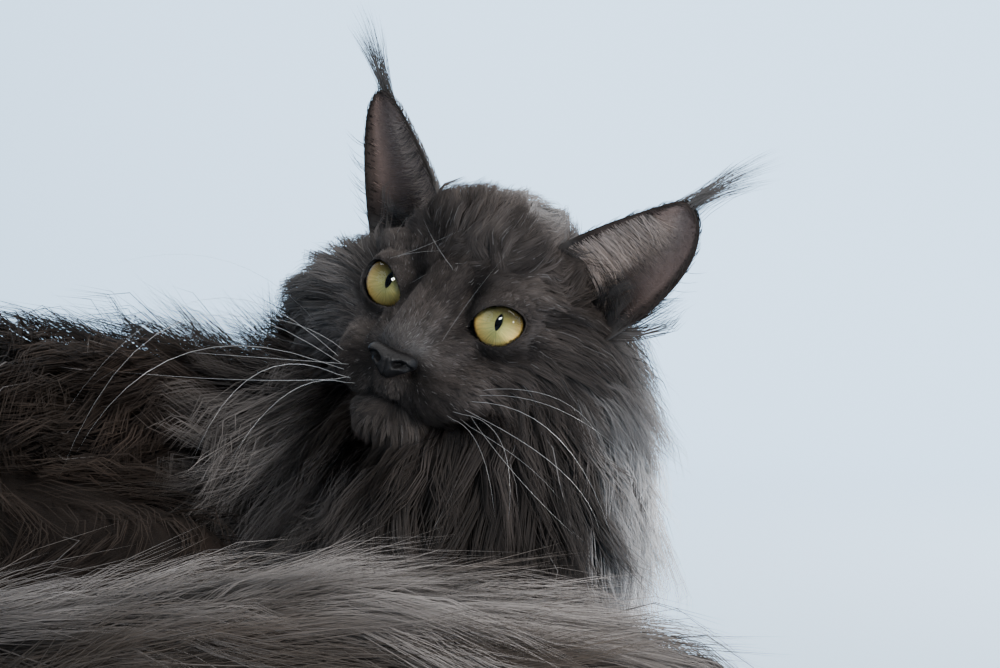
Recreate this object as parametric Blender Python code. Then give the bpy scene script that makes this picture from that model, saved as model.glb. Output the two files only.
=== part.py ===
"""A maine coon cat lying down, its head turned to the viewer and its tail round its front.

Metres, +Z up, resting on z = 0. Every place below is in the posing frame, whose -Y looks at the viewer;
the whole cat is then moved so that the origin is the bottom centre of its box.
Each node is a smooth core, with the long coat on it as flat, tapered locks.
"""

import math
import random

import bmesh
import bpy
from mathutils import Euler, Matrix, Vector
from mathutils.bvhtree import BVHTree

GAP = 0.0003
CORE_GAP = 0.00042
LOCK_GAP = 0.00024
MOST_SHELL = 1.6

# The head is posed by its own frame: +X to the cat's left, +Y to its back, +Z up, its origin midway
# between the eyes.
HEAD_PLACE = Vector((-0.0256, 0.050, 0.224))
HEAD_TURN = Euler([math.radians(a) for a in (3.1, 20.8, -23.9)])
EYE_RADIUS = 0.0145
EYE_CENTRES = {1: Vector((0.0292, 0.0035, 0.0010)), -1: Vector((-0.0292, 0.0035, -0.0012))}
EYE_OUTWARD = math.radians(13)
EYE_BACK = 0.0015
LID_HALF_WIDTH = 0.0130
LID_HALF_HEIGHT = 0.0098
LID_THICKNESS = 0.0022
LID_TILT = math.radians(24)
LID_STEPS = 16
LID_POINT = 1.15
LID_CUT = 0.04

# Ear corners in the head's frame, all given for the left side. The right ear is turned a little edge on,
# so its outer edge bulges less.
EAR_INNER = Vector((0.036, 0.030, 0.0430))
EAR_OUTERS = {1: Vector((0.072, 0.036, 0.0100)), -1: Vector((0.066, 0.036, 0.0100))}
EAR_TIP = Vector((0.0865, 0.040, 0.0780))
EAR_END = Vector((0.0042, 0.0, -0.0034))
EAR_ROUND = 0.88
EAR_DEPTH = 0.026
EAR_HOLLOW = 0.8
EAR_THICKNESS = 0.0026
EAR_THINNING = 0.45
EAR_INNER_BULGE = Vector((-0.003, 0.000, 0.006))
EAR_OUTER_BULGES = {1: Vector((0.026, 0.004, 0.0075)), -1: Vector((0.017, 0.004, 0.0105))}
EAR_ROWS = 7
EAR_COLUMNS = 6
EAR_LAST = 0.96
EAR_FOOT = 0.9

# Locks at the ear's tip and out of its cup, with the width and thickness of one.
TUFT_LOCKS = 4
TUFT_LENGTH = 0.046
TUFT_ROOT = 0.86
TUFT_SECTION = (0.0066, 0.0024)
FURNISHINGS = 3
FURNISHING_SECTION = (0.0080, 0.0026)
EAR_LOCK_SINK = 0.006
EAR_LOCK_SHARES = (0.35, 0.70, 1.0)

# The left half of the line of the mouth, and the line down from the nose, in the head's frame.
HALF_MOUTH = (
    (0.0, -0.0370, -0.0430),
    (0.007, -0.0365, -0.0455),
    (0.0175, -0.0280, -0.0500),
    (0.0260, -0.0140, -0.0510),
)
MOUTH_RADIUS = 0.0011
PHILTRUM = ((0.0, -0.042, -0.0335), (0.0, -0.042, -0.0385), (0.0, -0.042, -0.0430))
PHILTRUM_RADIUS = 0.0009

# Middle and radii of each cheek. The right one is pushed out, because the head leans that way.
CHEEKS = {
    1: ((0.042, 0.038, -0.016), (0.031, 0.034, 0.036)),
    -1: ((-0.047, 0.040, -0.021), (0.035, 0.034, 0.038)),
}

# Stations of the trunk from chest to rump: place on the floor, half width and top of its core.
TRUNK = (
    (0.004, 0.104, 0.050, 0.168),
    (-0.045, 0.144, 0.072, 0.186),
    (-0.120, 0.186, 0.084, 0.192),
    (-0.195, 0.188, 0.082, 0.204),
    (-0.260, 0.145, 0.078, 0.206),
    (-0.295, 0.085, 0.058, 0.156),
)
TRUNK_SPLIT = 2.5
NECK = (
    (0.008, 0.106, 0.205, 0.052),
    (0.000, 0.105, 0.165, 0.069),
    (-0.010, 0.093, 0.122, 0.077),
    (-0.008, 0.087, 0.090, 0.069),
)

# The tail from the rump round the cat's front: place on the floor, half width and top of its core.
TAIL = (
    (-0.298, 0.055, 0.030, 0.096),
    (-0.286, -0.030, 0.034, 0.094),
    (-0.235, -0.086, 0.038, 0.100),
    (-0.160, -0.112, 0.041, 0.108),
    (-0.075, -0.122, 0.043, 0.113),
    (0.000, -0.118, 0.040, 0.106),
    (0.068, -0.100, 0.027, 0.084),
)
TAIL_JOINS = (2.0, 4.2)
THROAT_AXIS = Vector((0.0, 0.02, -1.0)).normalized()
MIDDLE = 0.52
PRESSED = 0.003

# Joints of each leg, from the body to the toes, with the radius there.
LEGS = {
    "foreleg_right": (((-0.030, 0.080, 0.100), 0.040), ((-0.080, 0.056, 0.050), 0.032),
                      ((0.004, 0.004, 0.029), 0.024), ((0.044, -0.014, 0.024), 0.025)),
    "foreleg_left": (((0.016, 0.172, 0.118), 0.044), ((-0.040, 0.204, 0.050), 0.032),
                     ((0.056, 0.166, 0.029), 0.024), ((0.100, 0.148, 0.024), 0.025)),
    "hindleg_right": (((-0.262, 0.104, 0.098), 0.056), ((-0.162, 0.066, 0.084), 0.044),
                      ((-0.244, 0.006, 0.036), 0.027), ((-0.142, -0.010, 0.023), 0.024)),
    "hindleg_left": (((-0.282, 0.188, 0.092), 0.056), ((-0.190, 0.256, 0.082), 0.044),
                     ((-0.292, 0.264, 0.034), 0.027), ((-0.186, 0.290, 0.023), 0.024)),
}

SMOKE = (0.055, 0.052, 0.054, 1.0)
FROST = (0.120, 0.113, 0.110, 1.0)
GOLD = (0.560, 0.430, 0.100, 1.0)
LEATHER = (0.030, 0.029, 0.032, 1.0)

SEED = 7
CORE_VOXEL = 0.0045
HEAD_VOXEL = 0.0020
NOSE_VOXEL = 0.0012
LEG_VOXEL = 0.0035
TOE_STEPS = (-1.5, -0.5, 0.5, 1.5)
CUTTER_SIZE = 2.0
SINK = 0.005
RING_SHARES = (0.0, 0.30, 0.66, 1.0)
RING_WIDTHS = (0.55, 1.0, 0.72)
FLOOR_LIFT = 0.006
FLOOR_CLEARANCE = 0.0015
LOCK_RISE = (0.25, 0.45)
LOCK_BELLY = 0.4
MOST_PUSH = 0.5
PUSH_REACH = 0.08
ROOT_CLEARANCE = 0.003
INSIDE_REACH = 0.12
STRAY = 0.12
SIZES = (0.85, 1.15)
WELD = 2e-6
GROOVE_WELD = 1e-5
HEAD_TRIANGLES = 1350
NOSE_TRIANGLES = 170
NECK_TRIANGLES = 300
TRUNK_TRIANGLES = 800
TAIL_TRIANGLES = 600
LEG_TRIANGLES = 280
RUFF_ROWS = 6
RUFF_PER_ROW = 10

# Length, width, thickness and lift of a lock; and rows, locks in a row and half sweep over the back.
RUFF_LOCK = (0.074, 0.038, 0.007, 0.46)
TRUNK_LOCK = (0.062, 0.043, 0.007, 0.42)
TRUNK_PATTERN = (4, 8, 120)
TAIL_LOCK = (0.076, 0.036, 0.007, 0.36)
TAIL_PATTERN = (3, 6, 118)
CHEEK_LOCK = (0.055, 0.028, 0.006, 1.10)
CHEEK_ROWS = (0.036, 0.060)
CHEEK_PER_ROW = 4
CHEEK_ANGLES = (-8, 68)
CHEEK_HEIGHT = -0.012
LEG_LOCK = (0.052, 0.036, 0.006, 0.34)
LEG_COAT_END = 1.9
LEG_ROWS = {"fore": (2, 5), "hind": (4, 6)}
BLANK = Matrix.Identity(4)


def clear_scene():
    for obj in list(bpy.data.objects):
        bpy.data.objects.remove(obj)


def material(name, colour, roughness):
    made = bpy.data.materials.new(name)
    made.use_nodes = True
    shader = made.node_tree.nodes["Principled BSDF"]
    shader.inputs["Base Color"].default_value = colour
    shader.inputs["Roughness"].default_value = roughness
    return made


def add_object(name, mesh):
    obj = bpy.data.objects.new(name, mesh)
    bpy.context.scene.collection.objects.link(obj)
    return obj


def mesh_from(bm, name="shape"):
    mesh = bpy.data.meshes.new(name)
    bm.to_mesh(mesh)
    bm.free()
    return mesh


def applied(obj):
    """The object's mesh with its modifiers applied, which are then removed."""
    bpy.context.view_layer.update()
    graph = bpy.context.evaluated_depsgraph_get()
    mesh = bpy.data.meshes.new_from_object(obj.evaluated_get(graph))
    obj.modifiers.clear()
    obj.data = mesh
    return mesh


def oval(centre, radii, turn=None):
    """An ellipsoid, as the matrix that makes it from a unit ball."""
    return Matrix.LocRotScale(Vector(centre), turn, Vector(radii))


def ball(centre, radius):
    return oval(centre, (radius, radius, radius))


def append_hull(mesh, ovals, frame):
    """Adds the convex hull of a few ellipsoids to mesh, in the given frame."""
    bm = bmesh.new()
    for each in ovals:
        bmesh.ops.create_icosphere(bm, subdivisions=3, radius=1.0, matrix=frame @ each)
    if len(ovals) > 1:
        hull = bmesh.ops.convex_hull(bm, input=bm.verts)
        inner = [g for g in hull["geom_interior"] if isinstance(g, bmesh.types.BMVert)]
        bmesh.ops.delete(bm, geom=inner, context="VERTS")
        bmesh.ops.recalc_face_normals(bm, faces=bm.faces)
    part = mesh_from(bm)
    mesh.from_mesh(part)
    bpy.data.meshes.remove(part)


def blob(name, hulls, triangles, voxel=CORE_VOXEL, smoothing=6, frame=BLANK):
    """A smooth closed core: hulls of ellipsoids fused by a voxel remesh, smoothed and thinned."""
    bm = bmesh.new()
    for ovals in hulls:
        append_hull(bm, ovals, frame)
    obj = add_object(name, mesh_from(bm, name))
    remesh = obj.modifiers.new("fuse", "REMESH")
    remesh.mode = "VOXEL"
    remesh.voxel_size = voxel
    smooth = obj.modifiers.new("soften", "SMOOTH")
    smooth.factor = 0.5
    smooth.iterations = smoothing
    dense = applied(obj)
    thin = obj.modifiers.new("thin", "DECIMATE")
    thin.ratio = min(1.0, triangles / (2 * len(dense.polygons)))
    applied(obj)
    return obj


def chain(stations):
    """Neighbouring ellipsoids of a row of stations, as hulls that overlap end to end."""
    return [pair for pair in zip(stations, stations[1:])]


def remove_side(obj, point, normal):
    """Cuts away the side that normal points to, and closes the cut with a flat."""
    turn = normal.to_track_quat("Z", "Y").to_matrix().to_4x4()
    bm = bmesh.new()
    above = Matrix.Translation(Vector((0.0, 0.0, CUTTER_SIZE / 2)))
    bmesh.ops.create_cube(bm, size=CUTTER_SIZE, matrix=above)
    bmesh.ops.triangulate(bm, faces=bm.faces)
    bm.transform(Matrix.Translation(point) @ turn)
    cutter = add_object("side_cutter", mesh_from(bm))
    boolean(obj, "DIFFERENCE", cutter)
    bpy.data.objects.remove(cutter)


def flatten_on_floor(obj):
    """Gives the node its flat, where it lies on the floor."""
    remove_side(obj, Vector((0.0, 0.0, 0.0)), Vector((0.0, 0.0, -1.0)))


def keep_largest(obj):
    """Drops all but the largest closed surface, such as scraps of locks that a cut leaves."""
    bm = bmesh.new()
    bm.from_mesh(obj.data)
    bmesh.ops.dissolve_degenerate(bm, edges=bm.edges, dist=WELD)
    bmesh.ops.triangulate(bm, faces=bm.faces)
    left = set(bm.faces)
    islands = []
    while left:
        front = [left.pop()]
        island = set(front)
        while front:
            for edge in front.pop().edges:
                for other in edge.link_faces:
                    if other in left:
                        left.discard(other)
                        island.add(other)
                        front.append(other)
        islands.append(island)
    best = max(islands, key=len)
    bmesh.ops.delete(bm, geom=[f for f in bm.faces if f not in best], context="FACES")
    bm.to_mesh(obj.data)
    bm.free()


def boolean(obj, operation, operand, solver="MANIFOLD"):
    """Applies one Boolean, with an object or a collection."""
    modifier = obj.modifiers.new("boolean", "BOOLEAN")
    modifier.operation = operation
    modifier.solver = solver
    if isinstance(operand, bpy.types.Collection):
        modifier.operand_type = "COLLECTION"
        modifier.collection = operand
    else:
        modifier.object = operand
    applied(obj)


def grown(obj, by):
    """A copy of obj, larger by the gap that touching nodes keep."""
    bm = bmesh.new()
    bm.from_mesh(obj.data)
    bm.normal_update()
    moves = [v.normal.copy() for v in bm.verts]
    for vert, normal in zip(bm.verts, moves):
        vert.co += normal * by * min(vert.calc_shell_factor(), MOST_SHELL)
    return add_object(obj.name + "_grown", mesh_from(bm))


def boxes_meet(a, b):
    low_a, high_a = bounds([a])
    low_b, high_b = bounds([b])
    return all(low_a[i] < high_b[i] and low_b[i] < high_a[i] for i in range(3))


def bounds(objects):
    places = [v.co for obj in objects for v in obj.data.vertices]
    low = Vector([min(p[i] for p in places) for i in range(3)])
    high = Vector([max(p[i] for p in places) for i in range(3)])
    return low, high


def carve(obj, others, gap=CORE_GAP):
    """Cuts obj clear of other nodes, by their shapes grown by a gap."""
    for other in others:
        if obj is not other and boxes_meet(obj, other):
            boolean(obj, "DIFFERENCE", other)
            cutter = grown(other, gap)
            boolean(obj, "DIFFERENCE", cutter)
            bpy.data.objects.remove(cutter)
    keep_largest(obj)


def tree_of(obj):
    bm = bmesh.new()
    bm.from_mesh(obj.data)
    tree = BVHTree.FromBMesh(bm)
    bm.free()
    return tree


def pushed_clear(point, trees, distance):
    """The point moved out of each tree's surface until it stands off by distance."""
    for tree in trees:
        near, normal, _, _ = tree.find_nearest(point)
        height = (point - near).dot(normal)
        if height < distance and (point - near).length < PUSH_REACH:
            point = near + normal * distance
    return point


def lock_path(root, normal, lie, length, lift, own, obstacles):
    """Points of a lock from inside its core, out and along the coat's lie, or None where it has no room."""
    path = [root - normal * SINK]
    here = root
    for before, share in zip(RING_SHARES, RING_SHARES[1:]):
        heading = (lie + normal * lift * (1.0 - share)).normalized()
        aim = here + heading * length * (share - before)
        height = lift * length * (LOCK_RISE[0] + LOCK_RISE[1] * share)
        aim = pushed_clear(aim, [own], height)
        here = pushed_clear(aim, obstacles, height)
        if (here - aim).length > MOST_PUSH * length:
            return None
        here.z = max(here.z, FLOOR_LIFT)
        path.append(here)
    return path


def lock_mesh(path, side, width, thickness):
    """A flat, tapered lock with a low ridge along its back and a pointed tip."""
    bm = bmesh.new()
    rings = []
    for index, point in enumerate(path[:-1]):
        along = (path[index + 1] - path[max(index - 1, 0)]).normalized()
        up = side.cross(along).normalized()
        across = along.cross(up) * 0.5 * width * RING_WIDTHS[index]
        rise = up * thickness * RING_WIDTHS[index]
        belly = rise * LOCK_BELLY
        corners = (across - belly, rise - belly, -across - belly)
        rings.append([bm.verts.new(point + corner) for corner in corners])
    tip = bm.verts.new(path[-1])
    sides = len(rings[0])
    bm.faces.new(rings[0])
    for near, far in zip(rings, rings[1:]):
        for i in range(sides):
            j = (i + 1) % sides
            bm.faces.new((near[j], near[i], far[i], far[j]))
    for i in range(sides):
        bm.faces.new((rings[-1][(i + 1) % sides], rings[-1][i], tip))
    bmesh.ops.recalc_face_normals(bm, faces=bm.faces)
    bmesh.ops.triangulate(bm, faces=bm.faces)
    for vert in bm.verts:
        vert.co.z = max(vert.co.z, FLOOR_CLEARANCE)
    return mesh_from(bm)


def fuse(obj, meshes, solver="MANIFOLD"):
    """Joins many closed meshes to obj with one Boolean union on a collection."""
    group = bpy.data.collections.new(obj.name + "_locks")
    for mesh in meshes:
        group.objects.link(bpy.data.objects.new("lock", mesh))
    boolean(obj, "UNION", group, solver)
    for each in list(group.objects):
        bpy.data.objects.remove(each)
    bpy.data.collections.remove(group)


class Coat:
    """Grows locks on one node, bending them clear of the cores round it, which are given as search trees."""

    def __init__(self, obj, own, obstacles, draw):
        self.obj = obj
        self.own = own
        self.obstacles = obstacles
        self.draw = draw
        self.meshes = []

    def lock(self, root, normal, lie, length, width, thickness, lift):
        lie = (lie - normal * lie.dot(normal)).normalized()
        path = lock_path(root, normal, lie, length, lift, self.own, self.obstacles)
        if path:
            self.meshes.append(lock_mesh(path, lie.cross(normal).normalized(), width, thickness))

    def ring(self, centre, along, angles, length, width, thickness, lift, lie_of):
        """Locks where rays out of centre, square to along, leave the core."""
        sideways = along.cross(Vector((0.0, 0.0, 1.0))).normalized()
        upward = sideways.cross(along).normalized()
        for angle in angles:
            angle += self.draw.uniform(-STRAY, STRAY)
            ray = sideways * math.sin(angle) + upward * math.cos(angle)
            root, normal, _, _ = self.own.ray_cast(centre, ray)
            if root is None or root.z < FLOOR_LIFT:
                continue
            if any(inside(tree, root) for tree in self.obstacles):
                continue
            size = self.draw.uniform(*SIZES)
            lie = lie_of(along, ray)
            self.lock(root, normal, lie, length * size, width * size, thickness, lift)

    def finish(self):
        fuse(self.obj, self.meshes)
        keep_largest(self.obj)


def inside(tree, point):
    """Whether a point is under the surface of a tree, or just over it."""
    near, normal, _, _ = tree.find_nearest(point)
    return (point - near).dot(normal) < ROOT_CLEARANCE and (point - near).length < INSIDE_REACH


def head_frame():
    return Matrix.LocRotScale(HEAD_PLACE, HEAD_TURN, None)


def mirrored(point):
    return Vector((-point[0], point[1], point[2]))


def eye_centre(side):
    return EYE_CENTRES[side]


def eye_axis(side):
    return Vector((side * math.sin(EYE_OUTWARD), -math.cos(EYE_OUTWARD), 0.03)).normalized()


def head_shapes():
    """Ellipsoids and hulls of the head, in its own frame."""
    shapes = [
        [oval((0.0, 0.046, 0.010), (0.050, 0.050, 0.044)),
         oval((0.0, 0.022, 0.026), (0.037, 0.025, 0.028))],
        [oval((0.0, 0.000, 0.011), (0.0135, 0.012, 0.012)),
         oval((0.0, -0.0295, -0.0175), (0.0125, 0.011, 0.0098))],
        [oval((0.0, -0.0185, -0.0570), (0.0215, 0.0140, 0.0135)),
         oval((0.0, 0.014, -0.048), (0.030, 0.026, 0.019))],
        [oval((0.0, -0.0265, -0.0360), (0.0110, 0.0118, 0.0105)),
         oval((0.0, -0.010, -0.036), (0.018, 0.018, 0.014))],
        [oval((0.0, 0.012, -0.006), (0.032, 0.022, 0.022)),
         oval((0.0, 0.018, -0.030), (0.036, 0.032, 0.026))],
    ]
    for side in (1, -1):
        shapes += [
            [oval(*CHEEKS[side]),
             oval((side * 0.029, 0.011, -0.029), (0.020, 0.020, 0.019))],
            [oval((side * 0.0185, -0.0225, -0.0370), (0.0175, 0.0140, 0.0130)),
             oval((side * 0.0250, 0.000, -0.0330), (0.0200, 0.018, 0.0180))],
            [oval((side * 0.0110, -0.0200, -0.0240), (0.0120, 0.0130, 0.0120)),
             oval((side * 0.0150, 0.0010, -0.0090), (0.0125, 0.0125, 0.0125))],
            [oval((side * 0.015, 0.005, 0.016), (0.011, 0.011, 0.010)),
             oval((side * 0.039, 0.016, 0.013), (0.012, 0.012, 0.010))],
            [ball(eye_centre(side), EYE_RADIUS + LID_THICKNESS),
             oval((side * 0.032, 0.013, -0.012), (0.017, 0.016, 0.012))],
        ]
    return shapes


def lid_outline(side):
    """Points round the opening between the lids, its outer corner raised."""
    axis = eye_axis(side)
    outward = Vector((0.0, 0.0, 1.0)).cross(axis).normalized() * side
    rise = axis.cross(outward).normalized() * side
    across = outward * math.cos(LID_TILT) + rise * math.sin(LID_TILT)
    upward = rise * math.cos(LID_TILT) - outward * math.sin(LID_TILT)
    outline = []
    for i in range(LID_STEPS):
        turn = 2 * math.pi * i / LID_STEPS
        wide = math.cos(turn) * LID_HALF_WIDTH
        tall = math.copysign(abs(math.sin(turn)) ** LID_POINT, math.sin(turn)) * LID_HALF_HEIGHT
        outline.append(eye_centre(side) + across * wide + upward * tall)
    return outline


def lid_cutter(side, frame):
    """A prism of the opening between the lids."""
    reach = eye_axis(side) * LID_CUT
    bm = bmesh.new()
    outline = lid_outline(side)
    back = [bm.verts.new(frame @ p) for p in outline]
    front = [bm.verts.new(frame @ (p + reach)) for p in outline]
    bm.faces.new(back)
    bm.faces.new(front)
    for i in range(LID_STEPS):
        j = (i + 1) % LID_STEPS
        bm.faces.new((back[i], back[j], front[j], front[i]))
    bmesh.ops.recalc_face_normals(bm, faces=bm.faces)
    bmesh.ops.triangulate(bm, faces=bm.faces)
    return add_object("lid_cutter", mesh_from(bm))


def make_eye(name, side, frame):
    """The front of an eyeball, closed by a flat behind."""
    bm = bmesh.new()
    centre = eye_centre(side)
    place = frame @ Matrix.Translation(centre)
    bmesh.ops.create_icosphere(bm, subdivisions=3, radius=EYE_RADIUS, matrix=place)
    eye = add_object(name, mesh_from(bm, name))
    axis = frame.to_3x3() @ eye_axis(side)
    remove_side(eye, frame @ centre - axis * EYE_BACK, -axis)
    return eye


def make_nose(frame):
    """The nose leather: a rounded wedge with two nostrils."""
    wings = [oval((side * 0.0088, -0.0375, -0.0239), (0.0040, 0.0048, 0.0036)) for side in (1, -1)]
    hulls = [[*wings, oval((0.0, -0.0385, -0.0250), (0.0080, 0.0052, 0.0034)),
              oval((0.0, -0.0385, -0.0305), (0.0040, 0.0048, 0.0036))]]
    nose = blob("nose", hulls, NOSE_TRIANGLES, voxel=NOSE_VOXEL, smoothing=3, frame=frame)
    for side in (1, -1):
        bm = bmesh.new()
        slant = Euler((0.0, side * 0.35, 0.0))
        hole = oval((side * 0.0076, -0.0430, -0.0254), (0.0032, 0.0032, 0.0015), slant)
        bmesh.ops.create_icosphere(bm, subdivisions=1, radius=1.0, matrix=frame @ hole)
        cutter = add_object("nostril", mesh_from(bm))
        boolean(nose, "DIFFERENCE", cutter)
        bpy.data.objects.remove(cutter)
    return nose


def groove(head, points, radius):
    """Cuts a narrow line along the head's surface through a few points."""
    tree = tree_of(head)
    line = bpy.data.curves.new("groove", "CURVE")
    line.dimensions = "3D"
    line.bevel_depth = radius
    line.bevel_resolution = 0
    line.use_fill_caps = True
    spline = line.splines.new("POLY")
    spline.points.add(len(points) - 1)
    for place, point in zip(spline.points, points):
        near, _, _, _ = tree.find_nearest(point)
        place.co = (*near, 1.0)
    curve = add_object("groove", line)
    bpy.context.view_layer.update()
    graph = bpy.context.evaluated_depsgraph_get()
    mesh = bpy.data.meshes.new_from_object(curve.evaluated_get(graph))
    bpy.data.objects.remove(curve)
    bm = bmesh.new()
    bm.from_mesh(mesh)
    bmesh.ops.remove_doubles(bm, verts=bm.verts, dist=GROOVE_WELD)
    bmesh.ops.triangulate(bm, faces=bm.faces)
    cutter = add_object("groove", mesh_from(bm))
    boolean(head, "DIFFERENCE", cutter)
    bpy.data.objects.remove(cutter)


def make_head(frame, eyes, nose):
    head = blob("head", head_shapes(), HEAD_TRIANGLES, voxel=HEAD_VOXEL, smoothing=7, frame=frame)
    for side in (1, -1):
        cutter = lid_cutter(side, frame)
        boolean(head, "DIFFERENCE", cutter)
        bpy.data.objects.remove(cutter)
    mouth = [mirrored(p) for p in HALF_MOUTH[:0:-1]] + list(HALF_MOUTH)
    groove(head, [frame @ Vector(p) for p in mouth], MOUTH_RADIUS)
    groove(head, [frame @ Vector(p) for p in PHILTRUM], PHILTRUM_RADIUS)
    carve(head, [*eyes, nose])
    return head


def resting(x, y, half_width, top):
    """An ellipsoid that the floor will cut a flat from."""
    return oval((x, y, (top - PRESSED) / 2), (half_width, half_width, (top + PRESSED) / 2))


def along_row(stations, t):
    """The numbers of a row of stations at t, on a smooth curve through them."""
    last = len(stations) - 1
    i = min(int(max(t, 0.0)), last - 1)
    f = t - i
    four = (stations[min(max(k, 0), last)] for k in (i - 1, i, i + 1, i + 2))
    numbers = []
    for p, q, r, s in zip(*four):
        square = 2 * p - 5 * q + 4 * r - s
        cube = 3 * q - p - 3 * r + s
        numbers.append(0.5 * (2 * q + (r - p) * f + square * f ** 2 + cube * f ** 3))
    return tuple(numbers)


def last_of(stations):
    """The value of t at the end of a row of stations."""
    return len(stations) - 1.0


def resampled(stations, per_span=3):
    spans = len(stations) - 1
    return [along_row(stations, i / per_span) for i in range(spans * per_span + 1)]


def resting_hulls(stations, depth=0.0):
    """Hulls along stations that rest on the floor, made larger by depth."""
    return chain([resting(x, y, w + depth, top + depth) for x, y, w, top in resampled(stations)])


def centre_at(stations, t):
    """Middle of a resting body at t, and the direction that its centreline runs there."""
    def middle(at):
        x, y, _, top = along_row(stations, at)
        return Vector((x, y, MIDDLE * top))
    step = 0.02
    high = min(t + step, len(stations) - 1)
    low = max(t - step, 0.0)
    return middle(t), (middle(high) - middle(low)).normalized()


def parted(whole, names, stations, joins):
    """Cuts a whole core square to its centreline into the named pieces, a gap apart."""
    pieces = []
    edges = [None, *joins, None]
    for name, start, end in zip(names, edges, edges[1:]):
        piece = add_object(name, whole.data.copy())
        for t, side in ((start, 1), (end, -1)):
            if t is not None:
                point, along = centre_at(stations, t)
                remove_side(piece, point + along * side * GAP / 2, -along * side)
        pieces.append(piece)
    bpy.data.objects.remove(whole)
    return pieces


def make_leg(name, joints):
    """One leg, from the body to the toes, folded as it lies."""
    ovals = [ball(place, radius) for place, radius in joints]
    ankle, toes = Vector(joints[-2][0]), Vector(joints[-1][0])
    forward = toes - ankle
    forward.z = 0.0
    forward.normalize()
    sideways = Vector((forward.y, -forward.x, 0.0))
    radius = joints[-1][1]
    hulls = chain(ovals)
    for step in TOE_STEPS:
        reach = radius * (0.95 - 0.12 * abs(step))
        place = toes + forward * reach + sideways * step * radius * 0.42
        place.z = radius * 0.52
        hulls.append([ball(place, radius * 0.55), ball(place - forward * radius * 0.7, radius * 0.62)])
    leg = blob(name, hulls, LEG_TRIANGLES, voxel=LEG_VOXEL, smoothing=3)
    flatten_on_floor(leg)
    return leg


def ear_edge(start, bulge, u, tip):
    control = (start + tip) / 2 + bulge
    return start * (1 - u) ** 2 + control * 2 * u * (1 - u) + tip * u ** 2


def ear_place(side, u, v):
    """A point of an ear, mirrored to the left: u runs up it, v from its inner to its outer edge."""
    back = (EAR_TIP - EAR_INNER).cross(EAR_OUTERS[1] - EAR_INNER).normalized()
    blunt = EAR_END * u ** 3
    inner = ear_edge(EAR_INNER, EAR_INNER_BULGE, u, EAR_TIP) - blunt
    outer = ear_edge(EAR_OUTERS[side], EAR_OUTER_BULGES[side], u, EAR_TIP) + blunt
    closing = math.sqrt(1.0 - (max(u - EAR_ROUND, 0.0) / (1.0 - EAR_ROUND)) ** 2)
    depth = EAR_DEPTH * (1 - u) ** EAR_HOLLOW * (1 - v * v)
    return (inner + outer) / 2 + (outer - inner) / 2 * v * closing + back * depth


def ear_grid(side):
    """Rows of points up the ear, the first of them inside the head."""
    rows = []
    for i in range(EAR_ROWS + 1):
        u = EAR_LAST * i / EAR_ROWS
        rows.append([ear_place(side, u, -1 + 2 * j / EAR_COLUMNS) for j in range(EAR_COLUMNS + 1)])
    base = [point + (point - above) * EAR_FOOT for point, above in zip(rows[0], rows[1])]
    return [base, *rows]


def make_ear(name, side, frame):
    """A thin cup, open to the front, whose foot runs on into the head."""
    rows = ear_grid(side)
    bm = bmesh.new()
    sheets = ([], [])
    for i, row in enumerate(rows):
        thickness = EAR_THICKNESS * (1.0 - EAR_THINNING * i / EAR_ROWS)
        for j, point in enumerate(row):
            down = rows[max(i - 1, 0)][j]
            up = rows[min(i + 1, len(rows) - 1)][j]
            left = row[max(j - 1, 0)]
            right = row[min(j + 1, EAR_COLUMNS)]
            normal = (up - down).cross(right - left).normalized()
            for sheet, offset in zip(sheets, (0.5, -0.5)):
                place = point + normal * offset * thickness
                place.x *= side
                sheet.append(bm.verts.new(frame @ place))
    wide = EAR_COLUMNS + 1
    for i in range(len(rows) - 1):
        for j in range(EAR_COLUMNS):
            corners = (i * wide + j, i * wide + j + 1, (i + 1) * wide + j + 1, (i + 1) * wide + j)
            for sheet in sheets:
                a, b, c, d = (sheet[k] for k in corners)
                bm.faces.new((a, b, c))
                bm.faces.new((a, c, d))
    last = (len(rows) - 1) * wide
    rim = [*range(wide), *range(2 * wide - 1, last, wide), *range(last + wide - 1, last - 1, -1),
           *range(last - wide, 0, -wide)]
    for a, b in zip(rim, rim[1:] + rim[:1]):
        bm.faces.new((sheets[0][a], sheets[0][b], sheets[1][b]))
        bm.faces.new((sheets[0][a], sheets[1][b], sheets[1][a]))
    bmesh.ops.recalc_face_normals(bm, faces=bm.faces)
    return add_object(name, mesh_from(bm, name))


def ear_locks(ear, side, frame, draw):
    """The tuft at the ear's tip and the furnishings that stream out of its cup."""
    coat = Coat(ear, None, [], draw)
    meshes = coat.meshes
    turn = frame.to_3x3()

    def strand(start, heading, droop, length, width, thickness):
        path = [start - heading * EAR_LOCK_SINK]
        for share in EAR_LOCK_SHARES:
            path.append(start + heading * length * share + droop * length * share ** 2)
        path = [frame @ Vector((side * p.x, p.y, p.z)) for p in path]
        across = turn @ Vector((side * 0.75, -0.1, -0.65))
        meshes.append(lock_mesh(path, across.normalized(), width, thickness))

    for i in range(TUFT_LOCKS):
        spread = i / (TUFT_LOCKS - 1) - 0.5
        heading = Vector((0.57 + 0.5 * spread, 0.05, 0.82 - 0.35 * spread)).normalized()
        droop = Vector((0.10 + 0.25 * spread, 0.08, -0.12))
        length = TUFT_LENGTH * (1.0 - 0.7 * abs(spread)) * draw.uniform(0.92, 1.0)
        strand(ear_place(side, TUFT_ROOT, 0.5 * spread), heading, droop, length, *TUFT_SECTION)
    for i in range(FURNISHINGS):
        share = i / (FURNISHINGS - 1)
        start = ear_place(side, 0.12 + 0.5 * share, -0.72 + 0.1 * share)
        heading = Vector((0.80, -0.30, 0.25 + 0.35 * share)).normalized()
        droop = Vector((0.1, 0.10, -0.05))
        strand(start, heading, droop, 0.034 - 0.012 * share, *FURNISHING_SECTION)
    coat.finish()


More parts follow.
